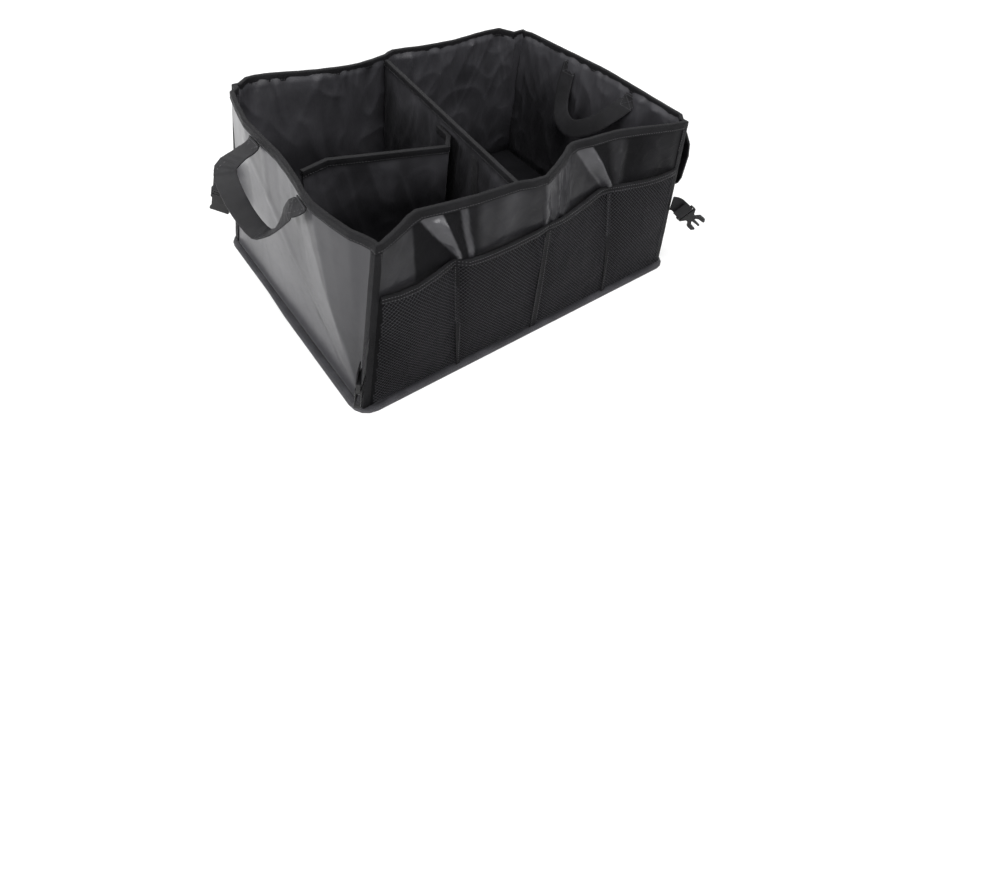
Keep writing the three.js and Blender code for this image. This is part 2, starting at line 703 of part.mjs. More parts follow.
// The tape folded over the flap's two sides and its bottom edge
function flapBindingGeometry(span) {
  const rows = flapRows();
  const path = [];
  for (const z of [...rows].reverse().slice(0, -1)) {
    path.push([0, z]);
  }
  for (const a of [0, 0.25, 0.5, 0.75, 1]) {
    path.push([a, rows[0]]);
  }
  for (const z of rows.slice(1)) {
    path.push([1, z]);
  }
  const middle = path.map(([a, z]) => flapPoint(span, a, z, FLAP_CLOTH / 2));
  const inner = path.map(([a, z]) => {
    const aside = a === 0 ? 0.08 : 0.93;
    const below = z < FLAP_BOTTOM + FLAP_CORNER;
    const up = below ? FLAP_BOTTOM + FLAP_CORNER : z;
    return flapPoint(span, a > 0 && a < 1 ? a : aside, up, FLAP_CLOTH / 2);
  });
  const section = channel(FLAP_CLOTH / 2 + GAP + TAPE, -FLAP_CLOTH / 2 - GAP - TAPE, 0, FLAP_TAPE_WIDTH, TAPE);
  const rings = path.map((_, k) => {
    const before = middle[Math.max(k - 1, 0)];
    const after = middle[Math.min(k + 1, path.length - 1)];
    const tangent = after.clone().sub(before).normalize();
    const inward = inner[k].clone().sub(middle[k]);
    inward.addScaledVector(tangent, -inward.dot(tangent)).normalize();
    const normal = tangent.clone().cross(inward).normalize();
    return section.map(([off, fromEdge]) => middle[k].clone()
      .addScaledVector(normal, off)
      .addScaledVector(inward, FLAP_TAPE_WIDTH - GAP - TAPE - fromEdge));
  });
  return skin(rings, { capFaces: sectionCap(section) });
}

// A hook or loop patch in the middle of a flap or pocket, over a given offset
function patchGeometry(span, z, offset) {
  const half = PATCH_LENGTH / 2 / BASE_WIDTH;
  const centre = (span[0] + span[1]) / 2;
  const shares = [centre - half, centre, centre + half];
  const rings = shares.map((share) => {
    const face = (off) => [z - PATCH_HEIGHT / 2, z + PATCH_HEIGHT / 2].map((h) => wallPointAt('right', share, h, offset(h) + off));
    return [...face(PATCH_THICKNESS), ...face(0).reverse()];
  });
  return skin(rings, { capFaces: stripCap(4) });
}

function makeFlapPockets() {
  const patchHeight = lerp(FLAP_BOTTOM, POCKET_TOP, 0.45);
  for (const [side, span] of Object.entries(POCKETS)) {
    const from = nearestStation('right', span[0]);
    const to = nearestStation('right', span[1]);
    const inner = pocketOffset(span);
    const outer = (share, z) => inner(share, z) + POCKET_CLOTH;
    const rows = [POCKET_FOOT - POCKET_CLOTH, POCKET_FOOT + 10, POCKET_FOOT + POCKET_DEPTH, 75, 120, POCKET_TOP];
    add(`flap_pocket_${side}`, sheet('right', from, to, rows, outer, inner), 'cloth');
    add(`pocket_flap_${side}`, flapGeometry(span), 'cloth');
    add(`pocket_flap_binding_${side}`, flapBindingGeometry(span), 'tape');
    const onPocket = () => POCKET_OFF_WALL + POCKET_DEPTH + POCKET_CLOTH + GAP;
    const underFlap = (z) => flapOffset(z) - GAP - PATCH_THICKNESS;
    add(`loop_patch_${side}`, patchGeometry(span, patchHeight, onPocket), 'hookAndLoop');
    add(`hook_patch_${side}`, patchGeometry(span, patchHeight, underFlap), 'hookAndLoop');
  }
  add('pocket_centre_strip', centreStripGeometry(), 'tape');
}

function centreStripGeometry() {
  const foot = FLANGE_THICKNESS + GAP;
  const heights = [foot, 0.3 * RIM_HEIGHT, 0.6 * RIM_HEIGHT, 0.8 * RIM_HEIGHT, RIM_HEIGHT - RIM_TAPE_DROP - GAP];
  const half = CENTRE_STRIP_WIDTH / 2 / BASE_WIDTH;
  const rings = heights.map((z) => {
    const line = (off) => [0.5 - half, 0.5 + half].map((share) => wallPointAt('right', share, z, off));
    return [...line(GAP + TAPE), ...line(GAP).reverse()];
  });
  return skin(rings, { capFaces: stripCap(4) });
}

// Dividers

const DIVIDER_HALF = DIVIDER_BOARD / 2 + GAP + DIVIDER_CLOTH;
const DIVIDER_FOOT = FLOOR + GAP;
const END_CLEARANCE = WALL + GAP + TAPE + 2.2;

// A panel of cloth folded up around a board, on a plan path, with points given per height
function foldedPanel(pathAt, section) {
  const count = pathAt(DIVIDER_FOOT).length;
  const rings = [];
  for (let k = 0; k < count; k += 1) {
    rings.push(section.map(([across, z]) => {
      const path = pathAt(z);
      const here = path[k];
      const before = path[Math.max(k - 1, 0)];
      const after = path[Math.min(k + 1, count - 1)];
      const into = k > 0 ? here.clone().sub(before).normalize() : after.clone().sub(here).normalize();
      const from = k < count - 1 ? after.clone().sub(here).normalize() : into;
      const side = new THREE.Vector2(into.y + from.y, -into.x - from.x).divideScalar(1 + into.dot(from));
      const plan = here.clone().addScaledVector(side, across);
      return new THREE.Vector3(plan.x, plan.y, z);
    }));
  }
  return skin(rings, { capFaces: sectionCap(section) });
}

function sleeveSection(top) {
  const inside = DIVIDER_HALF - DIVIDER_CLOTH;
  return [
    [DIVIDER_HALF, top],
    [DIVIDER_HALF, DIVIDER_FOOT],
    [-DIVIDER_HALF, DIVIDER_FOOT],
    [-DIVIDER_HALF, top],
    [-inside, top],
    [-inside, DIVIDER_FOOT + DIVIDER_CLOTH],
    [inside, DIVIDER_FOOT + DIVIDER_CLOTH],
    [inside, top],
  ];
}

function boardSection(top) {
  const half = DIVIDER_BOARD / 2;
  const foot = DIVIDER_FOOT + DIVIDER_CLOTH + GAP;
  return [[half, foot], [half, top], [-half, top], [-half, foot]];
}

function dividerTapeSection(top, drop) {
  const half = DIVIDER_HALF + GAP + TAPE;
  return channel(half, -half, top - drop, top, TAPE);
}

// Both ends of the centre divider are straight from its foot to its top, and it stands in one plane
function centreDividerPath(z) {
  const endsAt = (height) => [
    wallYAt('front', DIVIDER_FRONT_X, height, -END_CLEARANCE),
    wallYAt('back', DIVIDER_BACK_X, height, -END_CLEARANCE),
  ];
  const low = endsAt(DIVIDER_FOOT);
  const high = endsAt(DIVIDER_HEIGHT);
  const share = (z - DIVIDER_FOOT) / (DIVIDER_HEIGHT - DIVIDER_FOOT);
  const lean = (DIVIDER_BACK_X - DIVIDER_FRONT_X) / (high[1] - high[0]);
  return [0, 1].map((end) => {
    const y = lerp(low[end], high[end], share);
    return new THREE.Vector2(DIVIDER_FRONT_X + (y - high[0]) * lean, y);
  });
}

// The X of the centre divider's middle plane at a given Y
function centreDividerX(y, z) {
  const [front, back] = centreDividerPath(z);
  return lerp(front.x, back.x, (y - front.y) / (back.y - front.y));
}

// Plan of the cross divider: free left tab, fold, kink, then a right tab that lies on the centre divider
const CROSS_TAB_FROM_END = 37;
const CROSS_FOLD_FROM_END = 76;
const CROSS_KINK_FROM_CENTRE = 10;
const CROSS_PLAN = {
  tabEnd: [CROSS_TAB_FROM_END - BASE_LENGTH / 2, 4],
  leftFold: [CROSS_FOLD_FROM_END - BASE_LENGTH / 2, 12],
  kink: [DIVIDER_FRONT_X - CROSS_KINK_FROM_CENTRE, -36],
  rightFold: -14,
  rightTabEnd: 14,
};

function crossDividerPath() {
  const beside = (y) => {
    const lean = (DIVIDER_BACK_X - DIVIDER_FRONT_X) / BASE_WIDTH;
    const away = (DIVIDER_HALF + GAP + TAPE) * 2 + GAP;
    return new THREE.Vector2(centreDividerX(y, CROSS_HEIGHT) - away * Math.hypot(1, lean) - 1, y);
  };
  return [
    new THREE.Vector2(...CROSS_PLAN.tabEnd),
    new THREE.Vector2(...CROSS_PLAN.leftFold),
    new THREE.Vector2(...CROSS_PLAN.kink),
    beside(CROSS_PLAN.rightFold),
    beside(CROSS_PLAN.rightTabEnd),
  ];
}

function makeDividers() {
  const clothTop = DIVIDER_HEIGHT - TAPE - GAP;
  add('centre_divider_cloth', foldedPanel(centreDividerPath, sleeveSection(clothTop)), 'lining');
  add('centre_divider_board', foldedPanel(centreDividerPath, boardSection(DIVIDER_HEIGHT - DIVIDER_TAPE_DROP)), 'board');
  add('centre_divider_binding', foldedPanel(centreDividerPath, dividerTapeSection(DIVIDER_HEIGHT, DIVIDER_TAPE_DROP)), 'tape');
  add('divider_loop_strip', loopStripGeometry(), 'hookAndLoop');

  const crossTop = CROSS_HEIGHT - TAPE - GAP;
  const boardPath = () => {
    const path = crossDividerPath();
    const start = path[1].clone().lerp(path[2], 0.02);
    const end = path[2].clone().lerp(path[1], 0.02);
    return [start, end];
  };
  add('cross_divider_cloth', foldedPanel(crossDividerPath, sleeveSection(crossTop)), 'lining');
  add('cross_divider_board', foldedPanel(boardPath, boardSection(CROSS_HEIGHT - DIVIDER_TAPE_DROP)), 'board');
  add('cross_divider_binding', foldedPanel(crossDividerPath, dividerTapeSection(CROSS_HEIGHT, DIVIDER_TAPE_DROP)), 'tape');
}

// The loop strip up the left face of the centre divider, where the cross divider can be fixed
function loopStripGeometry() {
  const rings = [LOOP_STRIP_FOOT, LOOP_STRIP_TOP].map(([middleY, z]) => {
    const line = (off) => [-LOOP_STRIP_WIDTH / 2, LOOP_STRIP_WIDTH / 2].map((side) => {
      const y = middleY + side;
      return new THREE.Vector3(centreDividerX(y, z) - off, y, z);
    });
    const near = DIVIDER_HALF + GAP * 1.2;
    return [...line(near + LOOP_STRIP_THICKNESS), ...line(near).reverse()];
  });
  return skin(rings, { capFaces: stripCap(4) });
}

// Webbing: a flat band along a smooth line, with its width direction given at each point

function band(stops, width, thickness, steps) {
  const line = new THREE.CatmullRomCurve3(stops.map(([x, y, z]) => new THREE.Vector3(x, y, z)), false, 'centripetal');
  const rings = [];
  for (let k = 0; k <= steps; k += 1) {
    const t = k / steps;
    const at = line.getPoint(t);
    const tangent = line.getTangent(t);
    const span = t * (stops.length - 1);
    const low = Math.min(Math.floor(span), stops.length - 2);
    const a = new THREE.Vector3(...stops[low][3]).normalize();
    const b = new THREE.Vector3(...stops[low + 1][3]).normalize();
    const across = a.lerp(b, span - low).normalize();
    across.addScaledVector(tangent, -across.dot(tangent)).normalize();
    const through = tangent.clone().cross(across).normalize();
    const corner = (side, face) => at.clone()
      .addScaledVector(across, (side * width) / 2)
      .addScaledVector(through, (face * thickness) / 2);
    rings.push([corner(-1, -1), corner(1, -1), corner(1, 1), corner(-1, 1)]);
  }
  return skin(rings, { capFaces: [[0, 1, 2], [0, 2, 3]] });
}

// A handle's ends are held under the rim binding: outside the cloth on the left, inside the lining on the
// right, with their width along the wall there
const HANDLE_TOP = RIM_HEIGHT - RIM_TAPE_DROP - 4 * GAP;

function handleRoot(name, share, off, height) {
  const at = wallPointAt(name, share, height, off);
  const along = wallPointAt(name, share + 0.03, height, off).sub(wallPointAt(name, share - 0.03, height, off));
  return { at, along: along.normalize() };
}

function stop(root, dx, dy, dz, turned = null) {
  return [root.at.x + dx, root.at.y + dy, root.at.z + dz, turned || root.along.toArray()];
}

function makeHandles() {
  const outside = GAP + HANDLE_THICKNESS / 2 + GAP;
  const backLeg = handleRoot('left', 0.325, outside, HANDLE_TOP);
  const frontLeg = handleRoot('left', 0.69, outside, HANDLE_TOP);
  backLeg.along.negate();
  add('handle_left', band([
    stop(backLeg, 0, 0, 0),
    stop(backLeg, -1.5, 0, -4),
    stop(backLeg, -8, -1, -8),
    stop(backLeg, -26, -5, -12),
    stop(backLeg, -46.5, -13.3, -18.8, [-0.3, 1, 0.3]),
    stop(backLeg, -52.5, -37.3, -31.8, [-1, 0.5, 0.3]),
    stop(backLeg, -48.5, -64.3, -57.8, [-1, 0, 0.1]),
    stop(frontLeg, -32.8, 56, -71.8, [-1, -0.1, 0]),
    stop(frontLeg, -23.8, 39, -59.8, [-1, -0.35, -0.1]),
    stop(frontLeg, -17.8, 21, -31.8, [-0.5, -1, 0]),
    stop(frontLeg, -9.8, 6, -9.8, [-0.15, -1, 0]),
    stop(frontLeg, -6, 1, -7),
    stop(frontLeg, -1, 0, -4),
    stop(frontLeg, 0, 0, 0),
  ], HANDLE_WIDTH, HANDLE_THICKNESS, 36), 'webbing');

  const inside = -WALL - 2 * GAP - HANDLE_THICKNESS / 2;
  const nearLeg = handleRoot('right', 0.315, inside, HANDLE_TOP);
  const farLeg = handleRoot('right', 0.68, inside, HANDLE_TOP);
  add('handle_right', band([
    stop(farLeg, 0, 0, 0),
    stop(farLeg, 0, 0, -5),
    stop(farLeg, -3, 1, -30),
    stop(farLeg, -11, -6, -60, [-0.2, 1, -0.5]),
    stop(farLeg, -22, -24, -80, [-0.5, 0.4, -1]),
    stop(farLeg, -25, -50, -87, [-0.4, 0, -1]),
    stop(nearLeg, -20, 46, -70, [-0.3, -0.5, -1]),
    stop(nearLeg, -10, 20, -40, [-0.1, -1, -0.6]),
    stop(nearLeg, -1, 0, -10, nearLeg.along.clone().negate().toArray()),
    stop(nearLeg, 0, 0, 0, nearLeg.along.clone().negate().toArray()),
  ], HANDLE_WIDTH, HANDLE_THICKNESS, 30), 'webbing');
}

// Buckle halves lie along +X from their strap bar, with their width along Y and thickness along Z

const BAR_END = BUCKLE_BAR + BUCKLE_SLOT;
const TONGUE_LENGTH = 25;

function mirroredShape(half) {
  const points = [...half, ...half.map(([x, y]) => [x, -y]).reverse()];
  return new THREE.Shape(points.map(([x, y]) => new THREE.Vector2(x, y)));
}

function slotPath() {
  const half = BUCKLE_WIDTH / 2 - BUCKLE_RAIL;
  const slot = new THREE.Path();
  slot.moveTo(BUCKLE_BAR, -half);
  slot.lineTo(BAR_END, -half);
  slot.lineTo(BAR_END, half);
  slot.lineTo(BUCKLE_BAR, half);
  slot.closePath();
  return slot;
}

function extrudeBetween(shape, low, high) {
  const geometry = new THREE.ExtrudeGeometry(shape, { depth: high - low, bevelEnabled: false, curveSegments: 6 });
  return geometry.translate(0, 0, low);
}

// The half with two springy arms and a middle tongue
function prongGeometry() {
  const wide = BUCKLE_WIDTH / 2;
  const body = BAR_END + 7;
  const tip = body + TONGUE_LENGTH;
  const shape = mirroredShape([
    [0, wide],
    [BAR_END + 1.5, wide],
    [body, 0.53 * wide],
    [body + 5, 0.47 * wide],
    [body + 11, 0.88 * wide],
    [tip - 4, 0.91 * wide],
    [tip, 0.62 * wide],
    [tip - 1.5, 0.5 * wide],
    [body + 13, 0.44 * wide],
    [body + 9, 0.25 * wide],
    [body + 9, 0.15 * wide],
    [tip - 1, 0.1 * wide],
  ]);
  shape.holes.push(slotPath());
  return extrudeBetween(shape, -BUCKLE_THICKNESS / 2, BUCKLE_THICKNESS / 2);
}

function toManifold(geometry) {
  const bare = geometry.clone();
  bare.deleteAttribute('normal');
  bare.deleteAttribute('uv');
  const merged = mergeVertices(bare, 1e-4);
  return new wasm.Manifold(new wasm.Mesh({
    numProp: 3,
    vertProperties: new Float32Array(merged.attributes.position.array),
    triVerts: new Uint32Array(merged.index.array),
  }));
}

function fromManifold(solid) {
  const mesh = solid.getMesh();
  const geometry = new THREE.BufferGeometry();
  geometry.setAttribute('position', new THREE.Float32BufferAttribute(Array.from(mesh.vertProperties), 3));
  geometry.setIndex(Array.from(mesh.triVerts));
  return geometry;
}

// The half with the open sleeve that the arms snap into, scooped at both sides
function sleeveGeometry() {
  const wide = BUCKLE_WIDTH / 2;
  const sleeveStart = BAR_END + 3;
  const mouth = sleeveStart + TONGUE_LENGTH + 3;
  const wall = 1.5;
  const frame = mirroredShape([[0, wide], [sleeveStart + 2, wide], [sleeveStart + 2, 0.5]]);
  frame.holes.push(slotPath());
  const bar = toManifold(extrudeBetween(frame, -BUCKLE_THICKNESS / 2, BUCKLE_THICKNESS / 2));
  const body = mirroredShape([
    [sleeveStart, wide - 1],
    [sleeveStart + 4, wide],
    [sleeveStart + 7, wide - 2.6],
    [mouth - 8, wide - 2.6],
    [mouth - 5, wide],
    [mouth, wide],
  ]);
  const outside = toManifold(extrudeBetween(body, -SLEEVE_THICKNESS / 2, SLEEVE_THICKNESS / 2));
  const cavity = new THREE.BoxGeometry(TONGUE_LENGTH + 4, BUCKLE_WIDTH - 2 * wall, SLEEVE_THICKNESS - 2 * wall);
  cavity.translate(mouth + 2 - (TONGUE_LENGTH + 4) / 2 + 1, 0, 0);
  return fromManifold(outside.add(bar).subtract(toManifold(cavity)));
}

// A strap in the buckle's own frame: it comes in under the bar, turns up through the slot and lies back
function strapTail(thickness) {
  const clear = thickness / 2 + GAP + STRAP_THICKNESS / 2;
  const through = BUCKLE_BAR + GAP + STRAP_THICKNESS / 2 + 0.3;
  return [
    [-13, -clear],
    [0, -clear],
    [through - 0.8, -clear + 0.2],
    [through, -clear + 1.2],
    [through, clear - 1.2],
    [through - 0.8, clear - 0.2],
    [0, clear],
    [-13, clear],
  ];
}

// Straps: the corner each is sewn into, the way it stands out from the seam and how far from it it starts,
// the angle through which it droops, and the straight lengths before and after the droop
const STRAPS = {
  front_left: { half: 'sleeve', corner: 'frontLeft', out: [-0.66, -0.75], stand: 2.1, droop: 88, lead: 3, drop: 19 },
  front_right: { half: 'prong', corner: 'frontRight', out: [0.8, -0.6], stand: 2.7, droop: 43, lead: 0, drop: 14 },
  back_right: { half: 'prong', corner: 'backRight', out: [0.75, 0.66], stand: 2.1, droop: 80, lead: 4, drop: 16 },
  back_left: { half: 'sleeve', corner: 'backLeft', out: [-0.7, 0.7], stand: 2.1, droop: 84, lead: 4, drop: 18 },
};

function makeStraps() {
  for (const [place, strap] of Object.entries(STRAPS)) {
    const seamAt = (z) => new THREE.Vector3(...cornerAt(strap.corner, z).toArray(), z);
    const up = seamAt(STRAP_HEIGHT + 1).sub(seamAt(STRAP_HEIGHT)).normalize();
    const out = new THREE.Vector3(...strap.out, 0);
    out.addScaledVector(up, -out.dot(up)).normalize();
    const turn = THREE.MathUtils.degToRad(strap.droop);
    const headed = (angle) => out.clone().multiplyScalar(Math.cos(angle)).addScaledVector(up, -Math.sin(angle));
    const across = (angle) => up.clone().multiplyScalar(Math.cos(angle)).addScaledVector(out, Math.sin(angle));
    const seam = seamAt(STRAP_HEIGHT).addScaledVector(out, strap.stand);
    const pivot = seam.clone().addScaledVector(out, strap.lead).addScaledVector(up, -STRAP_TURN);
    const stops = strap.lead > 0 ? [[...seam.toArray(), up.toArray()]] : [];
    for (let step = 0; step <= 4; step += 1) {
      const angle = (turn * step) / 4;
      const at = pivot.clone().addScaledVector(across(angle), STRAP_TURN);
      stops.push([...at.toArray(), across(angle).toArray()]);
    }
    const x = headed(turn);
    const y = across(turn);
    const z = x.clone().cross(y);
    const bar = pivot.clone().addScaledVector(y, STRAP_TURN).addScaledVector(x, strap.drop);
    bar.addScaledVector(z, BUCKLE_THICKNESS / 2 + GAP + STRAP_THICKNESS / 2);
    const frame = new THREE.Matrix4().makeBasis(x, y, z).setPosition(bar);
    const geometry = strap.half === 'sleeve' ? sleeveGeometry() : prongGeometry();
    add(`buckle_${strap.half}_${place}`, geometry.applyMatrix4(frame), 'plastic');
    for (const [along, through] of strapTail(BUCKLE_THICKNESS)) {
      stops.push([...new THREE.Vector3(along, 0, through).applyMatrix4(frame).toArray(), y.toArray()]);
    }
    add(`strap_${place}`, band(stops, STRAP_WIDTH, STRAP_THICKNESS, 3 * (stops.length - 1)), 'webbing');
  }
}

makeBase();
WALL_ORDER.forEach(makeWall);
makeRim();
makeCornerBinding('left', 'front', 'corner_binding_front_left');
makeCornerBinding('front', 'right', 'corner_binding_front_right');
makeCornerBinding('right', 'back', 'corner_binding_back_right');
makeCornerBinding('back', 'left', 'corner_binding_back_left');
makeMeshPockets();
makeFlapPockets();
makeDividers();
makeHandles();
makeStraps();

export default group;
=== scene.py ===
import heapq
import math

import bmesh
import bpy
from mathutils import Matrix, Vector, noise
from mathutils.bvhtree import BVHTree


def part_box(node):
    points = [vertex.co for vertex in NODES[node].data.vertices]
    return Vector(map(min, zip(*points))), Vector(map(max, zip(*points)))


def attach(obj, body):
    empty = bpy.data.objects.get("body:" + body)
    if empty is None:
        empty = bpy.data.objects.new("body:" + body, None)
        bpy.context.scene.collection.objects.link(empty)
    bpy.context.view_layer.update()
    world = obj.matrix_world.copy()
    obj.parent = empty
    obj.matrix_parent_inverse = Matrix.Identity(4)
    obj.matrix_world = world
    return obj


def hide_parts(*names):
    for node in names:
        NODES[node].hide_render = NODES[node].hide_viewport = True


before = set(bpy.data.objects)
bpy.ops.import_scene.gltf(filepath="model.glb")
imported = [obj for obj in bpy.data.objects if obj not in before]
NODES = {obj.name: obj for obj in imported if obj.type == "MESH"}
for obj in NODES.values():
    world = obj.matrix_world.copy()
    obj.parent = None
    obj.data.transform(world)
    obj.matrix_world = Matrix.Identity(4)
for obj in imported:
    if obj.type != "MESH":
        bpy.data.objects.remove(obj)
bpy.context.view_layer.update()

SCENE = bpy.context.scene
MM = 0.001
ALONG_X, ALONG_Y, ALONG_Z = Vector((1, 0, 0)), Vector((0, 1, 0)), Vector((0, 0, 1))
RIM_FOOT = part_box("rim_binding")[0].z
# Which way each corner points, along X and along Y.
CORNERS = {
    "front_left": (-1, -1), "front_right": (1, -1), "back_right": (1, 1), "back_left": (-1, 1),
}


# The camera of the photograph.

def place_camera():
    azimuth, elevation, roll = (math.radians(a) for a in (-40.10, 45.42, 6.149))
    back = Vector((
        math.sin(azimuth) * math.cos(elevation),
        -math.cos(azimuth) * math.cos(elevation),
        math.sin(elevation),
    ))
    level = (-back).cross(ALONG_Z).normalized()
    upright = level.cross(-back)
    across = level * math.cos(roll) + upright * math.sin(roll)
    up = upright * math.cos(roll) - level * math.sin(roll)
    turn = Matrix((across, up, back)).transposed().to_4x4()
    lens = bpy.data.cameras.new("camera")
    lens.sensor_width = 36
    lens.lens = 23.68
    lens.shift_x = 0.0459
    lens.shift_y = -0.1256
    lens.clip_start = 0.02
    camera = bpy.data.objects.new("camera", lens)
    camera.matrix_world = Matrix.Translation((-0.5251, -0.6393, 0.6855)) @ turn
    SCENE.collection.objects.link(camera)
    SCENE.camera = camera


place_camera()


# Shader arithmetic.

class Reading:
    """A number or vector that a finish reads or works out at each point of a surface."""

    def __init__(self, finish, socket):
        self.finish = finish
        self.socket = socket

    def maths(self, operation, *others):
        values = dict(enumerate((self,) + others))
        return self.finish.node("ShaderNodeMath", {"operation": operation}, values)

    def __add__(self, other):
        return self.maths("ADD", other)

    __radd__ = __add__

    def __mul__(self, other):
        return self.maths("MULTIPLY", other)

    __rmul__ = __mul__

    def __sub__(self, other):
        return self.maths("SUBTRACT", other)

    def __rsub__(self, other):
        return (self * -1) + other

    def size(self):
        return self.maths("ABSOLUTE")

    def wave(self):
        return self.maths("SINE")

    def over(self, other):
        return self.maths("GREATER_THAN", other)

    def span(self, low, high):
        settings = {"clamp": True, "interpolation_type": "SMOOTHSTEP"}
        values = {"Value": self, "From Min": low, "From Max": high, "To Min": 0.0, "To Max": 1.0}
        return self.finish.node("ShaderNodeMapRange", settings, values)


class Finish:
    """One of the bag's materials, or its surroundings, and how its shader is put together."""

    def __init__(self, name, library=bpy.data.materials):
        self.result = library.new(name)
        self.result.use_nodes = True
        self.tree = self.result.node_tree
        self.tree.nodes.clear()

    def node(self, kind, settings=None, values=None, output=0):
        made = self.tree.nodes.new(kind)
        for key, value in (settings or {}).items():
            setattr(made, key, value)
        for key, value in (values or {}).items():
            if isinstance(value, Reading):
                self.tree.links.new(value.socket, made.inputs[key])
            else:
                made.inputs[key].default_value = value
        return Reading(self, made.outputs[output])

    def blend(self, first, second, factor):
        """A mix of two colours: sockets 6, 7 and 2 are those that carry colours."""
        values = {0: factor, 6: first, 7: second}
        return self.node("ShaderNodeMix", {"data_type": "RGBA"}, values, output=2)

    def place(self):
        return self.node("ShaderNodeTexCoord", output="Object")

    def threads(self):
        """Metres along the two thread directions of a piece, from its own UV map."""
        values = {"Vector": self.node("ShaderNodeUVMap", {"uv_map": "threads"})}
        return (self.node("ShaderNodeSeparateXYZ", {}, values, output=k) for k in ("X", "Y"))

    def along(self):
        """Metres along a webbing from its end, from its own attribute."""
        return self.own("along")

    def crest_and_painted_sheen(self):
        """How far a point of a lining stands on a fold, or the level of painted sheen on the outer
        cloth there, from 0 to 1, from the piece's own attribute."""
        return self.own("crest_and_painted_sheen")

    def own(self, name):
        """The plain number of an attribute, which its third socket gives."""
        return self.node("ShaderNodeAttribute", {"attribute_name": name}, output=2)

    def cloudy(self, scale, detail=3.0, roughness=0.55, stretch=None):
        place = self.place()
        if stretch:
            settings = {"operation": "MULTIPLY"}
            place = self.node("ShaderNodeVectorMath", settings, {0: place, 1: stretch})
        values = {"Vector": place, "Scale": scale, "Detail": detail, "Roughness": roughness}
        return self.node("ShaderNodeTexNoise", {}, values)

    def plain_weave(self, pitch):
        """Height of crossing threads: each goes over the next and under the one after it."""
        u, v = self.threads()
        turn = math.pi / pitch
        across, upward = (u * turn).wave(), (v * turn).wave()
        over = (across * upward).over(0.0)
        return over * across.size() + (1 - over) * upward.size()

    def bump(self, height, distance, strength=1.0, below=None):
        values = {"Height": height, "Distance": distance, "Strength": strength}
        if below:
            values["Normal"] = below
        return self.node("ShaderNodeBump", {}, values)

    def finish(self, **values):
        named = {key.replace("_", " "): value for key, value in values.items()}
        shader = self.node("ShaderNodeBsdfPrincipled", {}, named)
        self.node_output(shader)
        return self.result

    def node_output(self, shader, kind="ShaderNodeOutputMaterial"):
        made = self.tree.nodes.new(kind)
        self.tree.links.new(shader.socket, made.inputs["Surface"])

    def seen(self):
        """1 for what the camera sees, in a mirror and through glass too, and 0 for other light."""
        seen = self.node("ShaderNodeLightPath", output="Is Camera Ray")
        for ray in ("Is Glossy Ray", "Is Transmission Ray"):
            seen = seen.maths("MAXIMUM", self.node("ShaderNodeLightPath", output=ray))
        return seen


def grey(level, blue=1.1):
    return (level, level * 0.985, level * blue, 1.0)


# The bag's materials.

def outer_cloth_finish():
    f = Finish("outer_cloth")
    weave = f.plain_weave(0.9 * MM)
    faded = f.cloudy(9.0, 4.0).span(0.35, 0.7)
    dusty = f.cloudy(60.0, 5.0, 0.7).span(0.45, 0.8)
    colour = f.blend(grey(0.003), grey(0.008), faded * 0.6 + weave * 0.4)
    # Painted sheen: the piece's level lightens the colour, as painted highlight where it is high
    # and painted shade where it is low; the dust lightens it a little.
    colour = f.blend(colour, grey(0.09), f.crest_and_painted_sheen() * 0.5 + dusty * 0.03)
    ripple = f.bump(f.cloudy(95.0, 3.0), 0.35 * MM, 0.5)
    threads = f.bump(weave, 0.12 * MM, 0.6, ripple)
    return f.finish(
        Base_Color=colour, Roughness=0.5 + dusty * 0.1, Normal=threads,
        Coat_Weight=f.crest_and_painted_sheen() * (1.0 - dusty * 0.15), Coat_Roughness=0.3,
        Specular_IOR_Level=0.04,
    )


def lining_finish():
    f = Finish("lining_cloth")
    weave = f.plain_weave(0.45 * MM)
    patchy = f.cloudy(14.0, 4.0).span(0.35, 0.7)
    colour = f.blend(grey(0.018), grey(0.031), patchy)
    colour = f.blend(colour, grey(0.07), f.crest_and_painted_sheen() * 0.4)
    creased = f.cloudy(55.0, 5.0, 0.6, stretch=(1.0, 1.0, 0.45))
    ripple = f.bump(creased, 1.6 * MM, 0.5)
    threads = f.bump(weave, 0.05 * MM, 0.5, ripple)
    return f.finish(
        Base_Color=colour, Roughness=0.34 + patchy * 0.12, Normal=threads,
        Specular_IOR_Level=0.25, Sheen_Weight=0.04, Sheen_Roughness=0.3,
    )


def tape_finish(name, dark, light, shine):
    f = Finish(name)
    u, v = f.threads()
    ribs = ((u + v) * (2 * math.pi / (0.75 * MM))).wave() * 0.5 + 0.5
    cross = ((u - v) * (2 * math.pi / (0.75 * MM))).wave() * 0.5 + 0.5
    worn = f.cloudy(38.0, 4.0, 0.6).span(0.4, 0.75)
    colour = f.blend(grey(dark), grey(light), worn * 0.6 + ribs * 0.4)
    height = f.bump(ribs + cross, 0.1 * MM, 0.7)
    return f.finish(
        Base_Color=colour, Roughness=0.5 + worn * 0.12, Normal=height,
        Specular_IOR_Level=shine, Sheen_Weight=0.03, Sheen_Roughness=0.3,
    )


